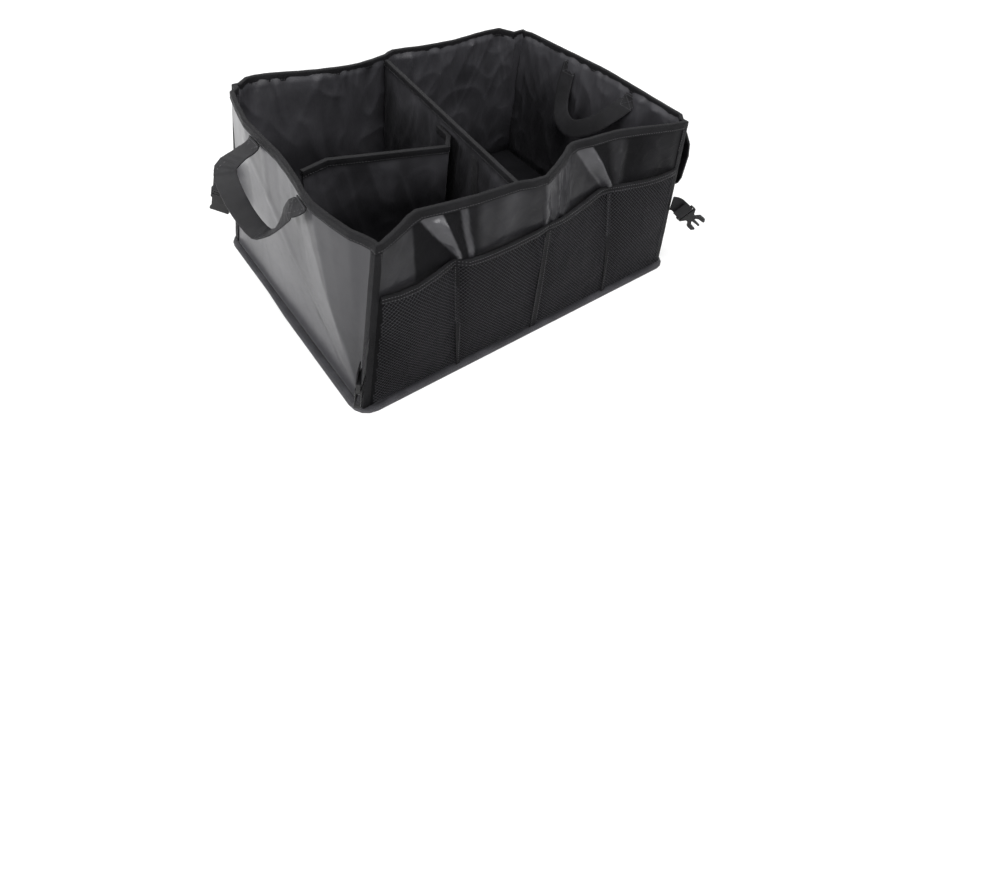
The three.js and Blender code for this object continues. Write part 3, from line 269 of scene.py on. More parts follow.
def webbing_finish():
    f = Finish("webbing")
    u, v = f.threads()
    rib = (f.along() * (2 * math.pi / (1.5 * MM))).wave() * 0.5 + 0.5
    cord = ((u + v) * (2 * math.pi / (1.1 * MM))).wave() * 0.5 + 0.5
    worn = f.cloudy(30.0, 4.0, 0.6).span(0.4, 0.75)
    colour = f.blend(grey(0.006), grey(0.020), worn * 0.5 + rib * 0.5)
    height = f.bump(rib * 0.7 + cord * 0.3, 0.28 * MM, 0.8)
    return f.finish(
        Base_Color=colour, Roughness=0.52 + worn * 0.1, Normal=height,
        Specular_IOR_Level=0.18, Sheen_Weight=0.06, Sheen_Roughness=0.3,
    )


def net_finish():
    f = Finish("net_thread")
    fuzzy = f.cloudy(900.0, 3.0, 0.6)
    colour = f.blend(grey(0.03), grey(0.065), fuzzy)
    return f.finish(
        Base_Color=colour, Roughness=0.55, Normal=f.bump(fuzzy, 0.08 * MM, 0.6),
        Specular_IOR_Level=0.12, Sheen_Weight=0.03, Sheen_Roughness=0.3,
    )


def thread_finish():
    f = Finish("stitch_thread")
    twist = f.cloudy(1500.0, 2.0)
    colour = f.blend(grey(0.03), grey(0.055), twist)
    return f.finish(
        Base_Color=colour, Roughness=0.5, Normal=f.bump(twist, 0.05 * MM, 0.6),
        Sheen_Weight=0.1, Sheen_Roughness=0.4,
    )


def plastic_finish():
    f = Finish("buckle_plastic")
    grain = f.cloudy(700.0, 3.0, 0.6)
    handled = f.cloudy(45.0, 3.0).span(0.35, 0.7)
    colour = f.blend(grey(0.006, 1.05), grey(0.011, 1.05), handled)
    return f.finish(
        Base_Color=colour, Roughness=0.2 + handled * 0.12,
        Normal=f.bump(grain, 0.04 * MM, 0.45), Specular_IOR_Level=0.28,
    )


def board_finish():
    f = Finish("hollow_board")
    across = f.node("ShaderNodeSeparateXYZ", {}, {"Vector": f.place()}, output="X")
    flute = (across * (2 * math.pi / (5.0 * MM))).wave() * 0.5 + 0.5
    scuffed = f.cloudy(25.0, 4.0).span(0.4, 0.7)
    colour = f.blend(grey(0.04), grey(0.07), scuffed)
    return f.finish(
        Base_Color=colour, Roughness=0.45 + scuffed * 0.2,
        Normal=f.bump(flute, 0.2 * MM, 0.5), Specular_IOR_Level=0.5,
    )


def fastener_finish():
    f = Finish("hook_and_loop")
    fibre = f.cloudy(1100.0, 4.0, 0.75)
    matted = f.cloudy(150.0, 4.0, 0.6).span(0.35, 0.7)
    colour = f.blend(grey(0.006), grey(0.018), fibre * 0.6 + matted * 0.4)
    return f.finish(
        Base_Color=colour, Roughness=0.85, Normal=f.bump(fibre + matted, 0.5 * MM, 0.9),
        Specular_IOR_Level=0.08, Sheen_Weight=0.06, Sheen_Roughness=0.5,
    )


CLOTH, LINING, WEBBING = outer_cloth_finish(), lining_finish(), webbing_finish()
TAPE = tape_finish("binding_tape", 0.005, 0.014, 0.08)
WELT = tape_finish("welt_tape", 0.028, 0.075, 0.3)
NET, THREAD, PLASTIC, BOARD, FASTENER = (
    net_finish(), thread_finish(), plastic_finish(), board_finish(), fastener_finish()
)


# Making pieces.

SURFACES = {}


def merged(node, join=True):
    """A copy of a node's mesh with its doubled points merged and its triangle pairs joined."""
    mesh = bmesh.new()
    mesh.from_mesh(NODES[node].data)
    bmesh.ops.remove_doubles(mesh, verts=mesh.verts, dist=0.02 * MM)
    if join:
        bmesh.ops.join_triangles(
            mesh, faces=mesh.faces, angle_face_threshold=math.radians(14),
            angle_shape_threshold=math.radians(70),
        )
    mesh.normal_update()
    return mesh


def hard_edges(mesh, degrees):
    limit = math.radians(degrees)
    return [e for e in mesh.edges if len(e.link_faces) == 2 and e.calc_face_angle() > limit]


def refine(mesh, spacing, passes=7):
    """Cuts every edge longer than the spacing in half until none is left."""
    for _ in range(passes):
        long = [e for e in mesh.edges if e.calc_length() > spacing]
        if not long:
            break
        bmesh.ops.subdivide_edges(mesh, edges=long, cuts=1, use_grid_fill=True)
    mesh.normal_update()


def ease(mesh, times, degrees=50):
    """Softens the folds of a refined mesh and leaves its hard edges where they are."""
    kept = {v for e in hard_edges(mesh, degrees) for v in e.verts}
    free = [v for v in mesh.verts if v not in kept]
    for _ in range(times):
        bmesh.ops.smooth_vert(
            mesh, verts=free, factor=0.5, use_axis_x=True, use_axis_y=True, use_axis_z=True
        )
    mesh.normal_update()


def round_edges(mesh, edges, width, segments=2):
    bmesh.ops.bevel(
        mesh, geom=edges, offset=width, segments=segments, affect="EDGES",
        profile=0.5, material=-1, clamp_overlap=True,
    )
    mesh.normal_update()


def push_out(mesh, facing, fold, least=0.35, painted_sheen=None):
    """Moves the points of one side of a cloth by fold(point), in metres along facing.

    Where the last function is given, the level of painted sheen that it gives for a point is
    written: the finish paints it as a lighter colour and adds coat by it. Elsewhere the height of
    the fold is written instead, with 1 at 2.2 mm."""
    layer = mesh.verts.layers.float.get("crest_and_painted_sheen") or mesh.verts.layers.float.new("crest_and_painted_sheen")
    mesh.normal_update()
    for v in mesh.verts:
        if v.normal.dot(facing) > least:
            height = fold(v.co)
            shown = painted_sheen(v.co) if painted_sheen else height / (2.2 * MM)
            v.co += facing * height
            v[layer] = min(max(shown, 0.0), 1.0)


def lay_threads(mesh):
    """Gives each face the thread directions of the side that it faces."""
    layer = mesh.loops.layers.uv.new("threads")
    for face in mesh.faces:
        n = face.normal
        sizes = (abs(n.x), abs(n.y), abs(n.z))
        u, v = ((1, 2), (0, 2), (0, 1))[sizes.index(max(sizes))]
        for loop in face.loops:
            loop[layer].uv = (loop.vert.co[u], loop.vert.co[v])


def measure_along(mesh, low_end):
    """Writes each point's distance from one end of a webbing, over its surface."""
    layer = mesh.verts.layers.float.new("along")
    first = min(mesh.verts, key=low_end)
    ends = [v for v in mesh.verts if (v.co - first.co).length < 3 * MM]
    far = {v: 0.0 for v in ends}
    queue = [(0.0, v.index, v) for v in ends]
    heapq.heapify(queue)
    while queue:
        distance, _, v = heapq.heappop(queue)
        if distance > far[v]:
            continue
        for e in v.link_edges:
            other = e.other_vert(v)
            reach = distance + e.calc_length()
            if reach < far.get(other, math.inf):
                far[other] = reach
                heapq.heappush(queue, (reach, other.index, other))
    for v, distance in far.items():
        v[layer] = distance


def show(mesh, name, finish, body="bag", stands_for=(), hard=38):
    """Turns a finished mesh into a piece of the bag."""
    mesh.normal_update()
    lay_threads(mesh)
    for layer in ("crest_and_painted_sheen", "along"):
        if not mesh.verts.layers.float.get(layer):
            mesh.verts.layers.float.new(layer)
    for face in mesh.faces:
        face.smooth = True
    for edge in hard_edges(mesh, hard):
        edge.smooth = False
    data = bpy.data.meshes.new(name)
    mesh.to_mesh(data)
    SURFACES[name] = BVHTree.FromBMesh(mesh)
    mesh.free()
    data.materials.append(finish)
    thing = bpy.data.objects.new(name, data)
    SCENE.collection.objects.link(thing)
    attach(thing, body)
    if stands_for:
        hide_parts(*stands_for)


# Folds and creases of the cloth. All of them work in millimetres.

# How high the rim's seam is, and how far under it the hems of the nets run.
RIM_SEAM, HEM_DROP = 240, 60


def within(value, low=0.0, high=1.0):
    return min(max(value, low), high)


def ridge(x, z, fold):
    """Height of one fold at (x, z): a crest from one point to the other that dies out."""
    x0, z0, x1, z1, width, height = fold
    dx, dz = x1 - x0, z1 - z0
    share = ((x - x0) * dx + (z - z0) * dz) / (dx * dx + dz * dz)
    held = within(share)
    off = math.hypot(x - x0 - dx * held, z - z0 - dz * held) / width
    if off >= 1:
        return 0.0
    return height * (1 - off * off) ** 2


def crease_field(x, z, seed, scale):
    """Sharp crests between soft hollows, from 0 to 1."""
    n = noise.noise(Vector((x / scale, z / scale, seed)))
    return (1 - min(abs(n) * 2.2, 1.0)) ** 2


def roll_field(x, z, seed, scale):
    return noise.noise(Vector((x / scale, z / scale, seed)))


def long_creases(x, z, seed, scale, lean=0.0):
    """Thin crests that run mostly up and down the cloth."""
    n = noise.noise(Vector(((x + lean * z) / scale, z / (scale * 4.5), seed)))
    return max(1 - abs(n) * 4.2, 0.0) ** 1.6


def puckers(x, z, seed, top, depth):
    """The gathers that hang from the rim seam and die out below it."""
    drop = (top - z) / depth
    if drop < 0 or drop > 1:
        return 0.0
    drift = 9 * roll_field(x, z, seed + 3, 45)
    phase = (x + drift) / (4.2 + 1.6 * roll_field(x, 0, seed + 5, 60))
    gather = 0.5 + 0.5 * math.sin(phase)
    uneven = 0.6 + 0.7 * abs(roll_field(x, 0, seed, 30))
    return (1 - drop) ** 1.4 * gather * uneven


def held_at_seams(mesh, along, top):
    """A function that is 0 along the side seams, foot and rim of a wall and 1 away from them."""
    rows, band = {}, 10 * MM
    for v in mesh.verts:
        row = rows.setdefault(int(v.co.z / band), [math.inf, -math.inf])
        row[0] = min(row[0], v.co[along] / MM)
        row[1] = max(row[1], v.co[along] / MM)

    def held(p):
        low, high = rows[int(p.z / band)]
        here, z = p[along] / MM, p.z / MM
        side = min(here - low, high - here)
        return within(min((side - 13) / 14, (z - 5) / 10, (top - z) / 7))

    return held


def outer_wall(side, facing, along, folds, spacing=5 * MM):
    """The outer cloth of one wall, with the boards under it."""
    wall = side + "_wall"
    mesh = merged(wall + "_cloth")
    refine(mesh, spacing)
    ease(mesh, 2)
    seed = {"front": 1.3, "right": 4.1, "back": 7.7, "left": 2.6}[side]
    held = held_at_seams(mesh, along, 239)

    def fold(p):
        x, z = p[along] / MM, p.z / MM
        height = sum(ridge(x, z, f) for f in folds)
        if side == "front":
            height += sum(pleat(x, z, crest) for crest in FRONT_PLEATS)
            above_hem = within((z - 182) / 8)
            height += above_hem * crease_field(x + 0.5 * z, z, 81.0, 30)
            height += 0.7 * above_hem * crease_field(x - 0.6 * z, z, 83.0, 20)
        crumpled = 0.4 if side == "left" else 1.0
        height += 0.35 * crumpled * roll_field(x, z, seed, 38) + 0.25
        height += 0.3 * crumpled * crease_field(x, z, seed, 55)
        most = 0.9 + 8.4 * within((z - 172) / 14) if side == "front" else 3.5
        return min(height, most) * held(p) * MM

    # Level of painted sheen for each point of a wall: on the front from its panels, elsewhere a
    # slowly varying level, lowered as painted shade on part of the left wall.
    def painted_sheen(p):
        x, z = p[along] / MM, p.z / MM
        if side == "front":
            return painted_panel_sheen(x, z) * (0.9 + 0.3 * roll_field(x, z, seed, 20))
        level = 0.82 + 0.4 * roll_field(x, z, seed + 2, 150)
        if side == "left":
            # Painted shade: darker in front of the fold that runs from the handle to the foot of
            # the corner.
            past = (-60 - x) * 0.87 - (232 - z) * 0.495
            level -= 0.34 * within(past / 7 + 0.5)
        return level

    push_out(mesh, facing, fold, painted_sheen=painted_sheen)
    boards = [n for n in NODES if n.startswith(wall + "_board")]
    show(mesh, wall + "_outer", CLOTH, stands_for=[wall + "_cloth"] + boards)


def wall_lining(side, facing, along, depth, strength):
    """The lining inside one wall: gathered under the rim and loose over the board."""
    mesh = merged(side + "_wall_lining")
    refine(mesh, 4.2 * MM)
    ease(mesh, 1)
    seed = {"front": 11.3, "right": 14.1, "back": 17.7, "left": 12.6}[side]

    def fold(p):
        x, z = p[along] / MM, p.z / MM
        high = 0.35 + 0.65 * within((z - 90) / 130)
        height = (1.6 if side == "right" else 2.4) * puckers(x, z, seed, 243, depth)
        height += strength * crease_field(x, z * 0.7, seed, 40)
        height += strength * 1.1 * high * long_creases(x, z, seed, 30, 0.15)
        height += strength * 0.9 * high * long_creases(x, z, seed + 9, 48, -0.45)
        height += strength * 0.6 * (0.5 + roll_field(x, z, seed + 1, 50))
        low = within((z - 6) / 14) * within((247 - z) / 10, low=0.15)
        return (max(height, 0) * low + 0.3) * MM

    push_out(mesh, facing, fold)
    show(mesh, side + "_wall_inside", LINING, stands_for=[side + "_wall_lining"])


# Folds: both ends of the crest, how wide the fold is to each side, and its height.
FRONT_FOLDS = (
    (-143, 240, -137, 196, 6, 1.4),
    (-122, 240, -126, 210, 6, 1.1),
    (-92, 236, -70, 190, 14, 0.9),
    (8, 240, 18, 190, 7, 1.8),
    (28, 240, 26, 196, 6, 1.6),
    (47, 240, 36, 196, 7, 1.5),
    (165, 240, 147, 186, 8, 1.6),
    (205, 236, 222, 190, 12, 1.0),
)
# Pleats: where the crest runs at the rim and at the hem, how wide its slopes are, and its height.
FRONT_PLEATS = (
    (-153, -138, 28, 9, 9.0),
    (106, 137, 27, 9, 9.0),
    (-8, -2, 8, 8, 3.6),
    (22, 14, 11, 8, 4.4),
    (46, 34, 12, 12, 5.0),
    (158, 150, 14, 12, 3.2),
    (-112, -120, 10, 8, 2.6),
)

# Panels of the front above the nets: where a panel's left edge runs at the rim and at the hem,
# how soft that edge is, and the level of painted sheen from there to the next edge: a high level
# lightens the colour as painted highlight and adds coat, a low one leaves painted shade. The
# edges follow the folds in the photograph, and the levels were chosen by comparing tones with it.
FRONT_PANELS = (
    (-300, -300, 3, 0.36), (-196, -204, 4, 0.0), (-183, -139, 3, 1.0), (-153, -137, 2, 0.0),
    (-130, -126, 3, 0.7), (-121, -119, 3, 0.06), (-104, -108, 12, 0.32), (-66, -78, 26, 0.46),
    (-40, -46, 24, 0.26), (-8, -3, 3, 0.7), (16, 12, 8, 0.28), (24, 18, 6, 0.7), (36, 30, 8, 0.3),
    (44, 36, 8, 0.55), (58, 48, 14, 0.3), (77, 125, 4, 1.0), (107, 138, 2, 0.0),
    (138, 146, 12, 0.24), (164, 158, 12, 0.0), (204, 200, 26, 0.1),
)


# Level of painted sheen on the front: painted highlight on the bright panels, and painted shade on
# the dark ones and below the hems, behind the nets.
def painted_panel_sheen(x, z):
    drop = min((RIM_SEAM - z) / HEM_DROP, 1.1)
    painted_level, wander = 0.0, 3 * roll_field(x * 0.3, z, 71.0, 34)
    for at_rim, at_hem, blur, level in FRONT_PANELS:
        step = (x + wander - at_rim - (at_hem - at_rim) * drop) / blur + 0.5
        painted_level += (level - painted_level) * within(step)
    return painted_level * within((z - 174) / 8)


def pleat(x, z, crest):
    """Height of a pleat that hangs from the rim: a slow rise that narrows downward, a crest
    and a quick fall."""
    at_rim, at_hem, rise, fall, height = crest
    drop = (RIM_SEAM - z) / HEM_DROP
    if drop <= 0:
        return 0.0
    middle = at_rim + (at_hem - at_rim) * drop
    width = fall * (1 + 0.8 * drop) if x > middle else rise * max(1 - 0.7 * drop, 0.3)
    off = abs(x - middle) / width
    if off >= 1:
        return 0.0
    start = min(drop / 0.5, 1.0)
    shown = start * start * (3 - 2 * start) * within((1.7 - drop) / 0.7)
    return height * shown * (1 - off) ** 1.25


LEFT_FOLDS = (
    (120, 215, -150, 40, 12, 0.7),
    (-20, 240, -35, 190, 10, 0.5),
    (60, 240, 52, 170, 12, 0.5),
)
BACK_FOLDS = (
    (-120, 236, -90, 120, 16, 1.6),
    (60, 238, 30, 90, 18, 1.8),
    (170, 236, 185, 140, 14, 1.3),
)
RIGHT_FOLDS = (
    (-60, 238, -40, 60, 14, 0.8),
    (70, 238, 90, 80, 14, 0.8),
)

outer_wall("front", -ALONG_Y, 0, FRONT_FOLDS, 2.8 * MM)
outer_wall("back", ALONG_Y, 0, BACK_FOLDS)
outer_wall("left", -ALONG_X, 1, LEFT_FOLDS)
outer_wall("right", ALONG_X, 1, RIGHT_FOLDS)
wall_lining("front", ALONG_Y, 0, 70, 1.5)
wall_lining("back", -ALONG_Y, 0, 90, 1.8)
wall_lining("left", ALONG_X, 1, 60, 1.5)
wall_lining("right", -ALONG_X, 1, 90, 1.6)


def base_pieces():
    mesh = merged("base_cloth")
    refine(mesh, 22 * MM)
    show(mesh, "base_underside", CLOTH, stands_for=["base_cloth"])
    mesh = merged("base_lining")
    refine(mesh, 8 * MM)
    ease(mesh, 2)

    def fold(p):
        x, y = p.x / MM, p.y / MM
        edge = 1.0 - 0.5 * ridge(x, y, (2, -200, 2, 200, 14, 1.0))
        height = 0.9 * crease_field(x, y, 21.0, 46) + 0.5 * roll_field(x, y, 22.0, 60)
        return max(height, 0) * edge * MM

    push_out(mesh, ALONG_Z, fold, 0.6, lambda p: 0.08)
    show(mesh, "base_inside", CLOTH, stands_for=["base_lining"])
    for node in ("base_board_left", "base_board_right"):
        for place in NODES[node].material_slots:
            place.material = BOARD


base_pieces()


# Dividers.

def divider(name, facing, along, folds):
    cloth = name + "_divider_cloth"
    mesh = merged(cloth)
    refine(mesh, 4.5 * MM)
    ease(mesh, 3)
    tape_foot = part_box(name + "_divider_binding")[0].z / MM
    for sign, seed in ((1, 31.0), (-1, 35.0)):

        def fold(p):
            x, z = p[along] / MM, p.z / MM
            height = 0.9 * crease_field(x, z * 0.8, seed, 40) + 0.5 * roll_field(x, z, seed, 55)
            height += 1.1 * long_creases(x, z, seed, 36, 0.2)
            height += 0.8 * puckers(x, z, seed, tape_foot, 60)
            height += sum(ridge(x, z, f) for f in folds) * sign
            low = within((z - 8) / 12) * within((tape_foot - z) / 10)
            return within(height, high=2.4) * low * MM

        push_out(mesh, facing * sign, fold, 0.3)
    board = name + "_divider_board"
    show(mesh, name + "_divider", LINING, stands_for=[cloth, board])


CENTRE_FOLDS = ((-60, 230, -40, 120, 12, 0.9), (60, 232, 80, 100, 14, 1.0))
CROSS_FOLDS = ((-110, 225, -120, 90, 10, 1.2), (-160, 222, -150, 120, 12, 0.8))

divider("centre", ALONG_X, 1, CENTRE_FOLDS)
divider("cross", ALONG_Y, 0, CROSS_FOLDS)


# Tapes and bindings.

def tape(node, name, body="bag", top_round=0.0, waviness=0.25, finish=TAPE,
         rounding=0.28 * MM, spacing=8 * MM):
    """A sewn tape: its edges rolled over, and a little unevenness along it."""
    mesh = merged(node)
    if top_round:
        high = max(v.co.z for v in mesh.verts)
        crest_foot = high - 1.2 * MM
        crests = [e for e in hard_edges(mesh, 55) if all(v.co.z > crest_foot for v in e.verts)]
        round_edges(mesh, crests, top_round, 4)
    round_edges(mesh, hard_edges(mesh, 55), rounding)
    refine(mesh, spacing)
    for v in mesh.verts:
        drift = roll_field(v.co.x / MM, (v.co.y + v.co.z) / MM, 41.0, 16)
        v.co += v.normal * drift * waviness * MM
    show(mesh, name, finish, body, [node], hard=60)


def fastener_pad(node, name, body="bag", waviness=0.05):
    """A strip of hook and loop: stiffer than a tape, with sharper edges."""
    tape(node, name, body, waviness=waviness, finish=FASTENER,
         rounding=0.12 * MM)


tape("rim_binding", "rim_tape", top_round=1.9 * MM, spacing=6 * MM)
for corner in CORNERS:
    tape("corner_binding_" + corner, "corner_tape_" + corner)
tape("base_flange", "foot_welt", waviness=0.12, finish=WELT, rounding=0.9 * MM)
for end in ("left", "right"):
    tape("mesh_hem_" + end, "hem_tape_" + end, top_round=0.8 * MM, waviness=0.35)
    tape("mesh_seam_" + end, "seam_tape_" + end)
tape("front_centre_tape", "centre_tape")
tape("pocket_centre_strip", "pocket_strip_tape")
tape("centre_divider_binding", "centre_divider_tape", top_round=1.1 * MM)
tape("cross_divider_binding", "cross_divider_tape", top_round=1.1 * MM)
for end in ("front", "back"):
    tape("pocket_flap_binding_" + end, "flap_tape_" + end, "flap_" + end)
    fastener_pad("loop_patch_" + end, "loop_pad_" + end)
    fastener_pad("hook_patch_" + end, "hook_pad_" + end, "flap_" + end)
fastener_pad("divider_loop_strip", "divider_loop_pad", waviness=0.1)


# Flap pockets on the right end.

def low_painted_sheen(p):
    """The level of painted sheen on the end pockets and their flaps: low nearly all over."""
    return 0.16 + 0.12 * roll_field(p.y / MM, p.z / MM, 57.0, 70)


def flap_pockets():
    for end, seed in (("front", 51.0), ("back", 55.0)):
        low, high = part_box("flap_pocket_" + end)
        pad_low, pad_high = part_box("loop_patch_" + end)
        mesh = merged("flap_pocket_" + end)
        refine(mesh, 6 * MM)
        ease(mesh, 4, 60)

        def fold(p, seed=seed, low=low, high=high, pad_low=pad_low, pad_high=pad_high):
            y, z = p.y / MM, p.z / MM
            beside = max(pad_low.y - p.y, p.y - pad_high.y, pad_low.z - p.z, p.z - pad_high.z)
            free = within((beside / MM - 7) / 12)
            height = 0.35 * crease_field(y, z, seed, 70) + 1.2 * roll_field(y, z, seed, 60) + 0.3
            height += 1.1 * puckers(y, low.z / MM + high.z / MM - z, seed, 160, 50)
            return within(height, high=1.4) * free * MM

        push_out(mesh, ALONG_X, fold, 0.6, low_painted_sheen)
        show(mesh, "end_pocket_" + end, CLOTH, stands_for=["flap_pocket_" + end])
        mesh = merged("pocket_flap_" + end)
        refine(mesh, 6 * MM)
        ease(mesh, 4, 60)

        def drape(p, seed=seed):
            y, z = p.y / MM, p.z / MM
            height = 0.3 * crease_field(y, z, seed + 2, 80) + 1.1 * roll_field(y, z, seed, 65) + 0.3
            return within(height, high=1.3) * MM

        push_out(mesh, ALONG_X, drape, 0.6, low_painted_sheen)
        show(mesh, "end_flap_" + end, CLOTH, "flap_" + end, ["pocket_flap_" + end])


flap_pockets()


# Net pockets on the front.

# A plane well in front of the bag, from which rays are cast back at its front.
AHEAD = -0.4


def net_pocket(end, pitch=3.7 * MM, strand=0.85 * MM):
    """Knitted net of slanting strands, laid on the sheet that the CAD holds for it."""
    node = "mesh_pocket_" + end
    low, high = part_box(node)
    sheet = merged(node, join=False)
    tree = BVHTree.FromBMesh(sheet)
    sheet.free()
    middle = (low + high) / 2
    reach = math.hypot(high.x - low.x, high.z - low.z) / 2
    steps = int(2 * reach / pitch)
    slant = Matrix.Rotation(math.radians(45), 4, "Y")
    turn = Matrix.Translation((middle.x, AHEAD, middle.z)) @ slant
    turn = turn @ Matrix.Rotation(math.pi / 2, 4, "X")
    mesh = bmesh.new()
    bmesh.ops.create_grid(mesh, x_segments=steps, y_segments=steps, size=reach, matrix=turn)
    sides = (
        (Vector((low.x, 0, 0)), -ALONG_X), (Vector((high.x, 0, 0)), ALONG_X),
        (Vector((0, 0, low.z)), -ALONG_Z), (Vector((0, 0, high.z)), ALONG_Z),
    )
    for point, outward in sides:
        parts = mesh.verts[:] + mesh.edges[:] + mesh.faces[:]
        bmesh.ops.bisect_plane(
            mesh, geom=parts, dist=0.02 * MM, plane_co=point, plane_no=outward, clear_outer=True
        )
    off = []
    for v in mesh.verts:
        hit = tree.ray_cast(Vector((v.co.x, AHEAD, v.co.z)), ALONG_Y)[0]
        if hit:
            x, z = v.co.x / MM, v.co.z / MM
            loose = 0.8 * crease_field(x + 0.6 * z, z, 61.0, 90) + 1.2 * roll_field(x, z, 62.0, 60)
            inside = min(v.co.x - low.x, high.x - v.co.x, v.co.z - low.z, high.z - v.co.z)
            edge = inside / (12 * MM)
            gathered = puckers(x, -z, 63.0, -low.z / MM, 34) * within(edge * 3)
            sag = 3.0 * max(loose, 0) * within(edge) + 1.5 * gathered
            v.co.y = hit.y + 0.4 * MM - sag * MM
        else:
            off.append(v)
    bmesh.ops.delete(mesh, geom=off, context="VERTS")
    mesh.normal_update()
    bmesh.ops.wireframe(
        mesh, faces=mesh.faces[:], thickness=strand / 2, use_replace=True,
        use_boundary=True, use_even_offset=True,
    )
    show(mesh, "net_" + end, NET, stands_for=[node])


net_pocket("left")
net_pocket("right")


# Handles, straps and buckles.

def webbing(node, name, low_end):
    """A flat woven band with round edges, its length measured for the ribs."""
    mesh = merged(node)
    round_edges(mesh, hard_edges(mesh, 60), 0.45 * MM)
    refine(mesh, 5 * MM)
    mesh.verts.index_update()
    measure_along(mesh, low_end)
    show(mesh, name, WEBBING, stands_for=[node], hard=60)


webbing("handle_left", "left_handle", lambda v: v.co.z + v.co.y)
webbing("handle_right", "right_handle", lambda v: v.co.z + v.co.y)
for corner in CORNERS:
    webbing("strap_" + corner, "shut_strap_" + corner, lambda v: -v.co.z)


def buckle(node, name):
    mesh = merged(node, join=False)
    bmesh.ops.dissolve_limit(
        mesh, angle_limit=math.radians(1), verts=mesh.verts, edges=mesh.edges
    )
    round_edges(mesh, hard_edges(mesh, 40), 0.45 * MM, 3)
    show(mesh, name, PLASTIC, stands_for=[node], hard=50)


for node in ("buckle_sleeve_front_left", "buckle_sleeve_back_left",
             "buckle_prong_front_right", "buckle_prong_back_right"):
    buckle(node, node.replace("buckle_", "clip_"))


# Stitches.

# Rays are cast at the finished pieces to find where each stitch lies. They start this far
# from the middle of the bag, and the rows on its straight sides reach this far from it.
CLEAR_X, CLEAR_Y = 0.5, 0.45
RUN_X, RUN_Y = 0.275, 0.19


def dash():
    """One stitch: a short grain of thread, lying along X and proud along Z."""
    mesh = bmesh.new()
    shape = Matrix.Diagonal((1.25 * MM, 0.42 * MM, 0.34 * MM, 1))
    bmesh.ops.create_icosphere(mesh, subdivisions=1, radius=1, matrix=shape)
    data = bpy.data.meshes.new("dash")
    for face in mesh.faces:
        face.smooth = True
    mesh.to_mesh(data)
    mesh.free()
    return data


DASH = dash()


def traced(surface, path, toward, lift=0.1 * MM, pitch=3.6 * MM):
    """Points and normals on a surface under a path, one for each stitch."""
    found = []
    for a, b in zip(path, path[1:]):
        a, b = Vector(a), Vector(b)
        count = max(int((b - a).length / pitch), 1)
        for k in range(count):
            start = a.lerp(b, (k + 0.5) / count)
            hit, normal, _, _ = SURFACES[surface].ray_cast(start, toward)
            if hit is None:
                found.append(None)
                continue
            if normal.dot(toward) > 0:
                normal = -normal
            found.append((hit + normal * lift, normal))
    return found


def sew(mesh, row):
    """Lays a stitch at each place of a row, in line with the places beside it."""
    for before, here, after in zip([None] + row, row, row[1:] + [None]):
        if not here or not (before or after):
            continue
        a, b = before or here, after or here
        run = b[0] - a[0]
        if run.length > 14 * MM or run.length < 0.3 * MM:
            continue
        x = run.normalized()
        z = (here[1] - x * here[1].dot(x)).normalized()
        y = z.cross(x)
        turn = Matrix((x, y, z)).transposed().to_4x4()
        stitch = DASH.copy()
        stitch.transform(Matrix.Translation(here[0]) @ turn)
        mesh.from_mesh(stitch)
        bpy.data.meshes.remove(stitch)


def stitches(name, rows, body="bag"):
    mesh = bmesh.new()
    for row in rows:
        sew(mesh, row)
    show(mesh, name, THREAD, body, hard=180)


def rim_rows():
    """Rows near the foot of the rim tape, on its outer and its inner side."""
    rows, z, outside = [], RIM_FOOT + 2.2 * MM, 0.45
    for toward in (ALONG_Y, -ALONG_Y):
        for distance, way in ((outside, toward), (0.05, -toward)):
            y = -distance * toward.y
            rows.append(traced("rim_tape", ((-RUN_X, y, z), (RUN_X, y, z)), way))
    for toward in (ALONG_X, -ALONG_X):
        for distance, way in ((outside, toward), (0.1, -toward)):
            x = -distance * toward.x
            rows.append(traced("rim_tape", ((x, -RUN_Y, z), (x, 0.215, z)), way))
    return rows


stitches("rim_stitches", rim_rows())


def welt_rows(inset):
    """Rows on the top of the foot welt, a set distance in from its outer edge."""
    rows, level = [], 1.7 * MM
    runs = (
        ((-RUN_X, -CLEAR_Y), (RUN_X, -CLEAR_Y), ALONG_Y),
        ((-RUN_X, CLEAR_Y), (RUN_X, CLEAR_Y), -ALONG_Y),
        ((-CLEAR_X, -RUN_Y), (-CLEAR_X, RUN_Y), ALONG_X),
        ((CLEAR_X, -RUN_Y), (CLEAR_X, RUN_Y), -ALONG_X),
    )
    count = 150
    for a, b, toward in runs:
        row = []
        for k in range(count):
            share = k / (count - 1)
            start = Vector((a[0] + (b[0] - a[0]) * share, a[1] + (b[1] - a[1]) * share, level))
            edge = SURFACES["foot_welt"].ray_cast(start, toward)[0]
            if edge is None:
                row.append(None)
                continue
            above = edge + toward * inset + ALONG_Z * 0.02
            hit = SURFACES["foot_welt"].ray_cast(above, -ALONG_Z)[0]
            row.append((hit + ALONG_Z * 0.1 * MM, ALONG_Z) if hit else None)
        rows.append(row)
    return rows


stitches("welt_stitches", welt_rows(3.2 * MM))


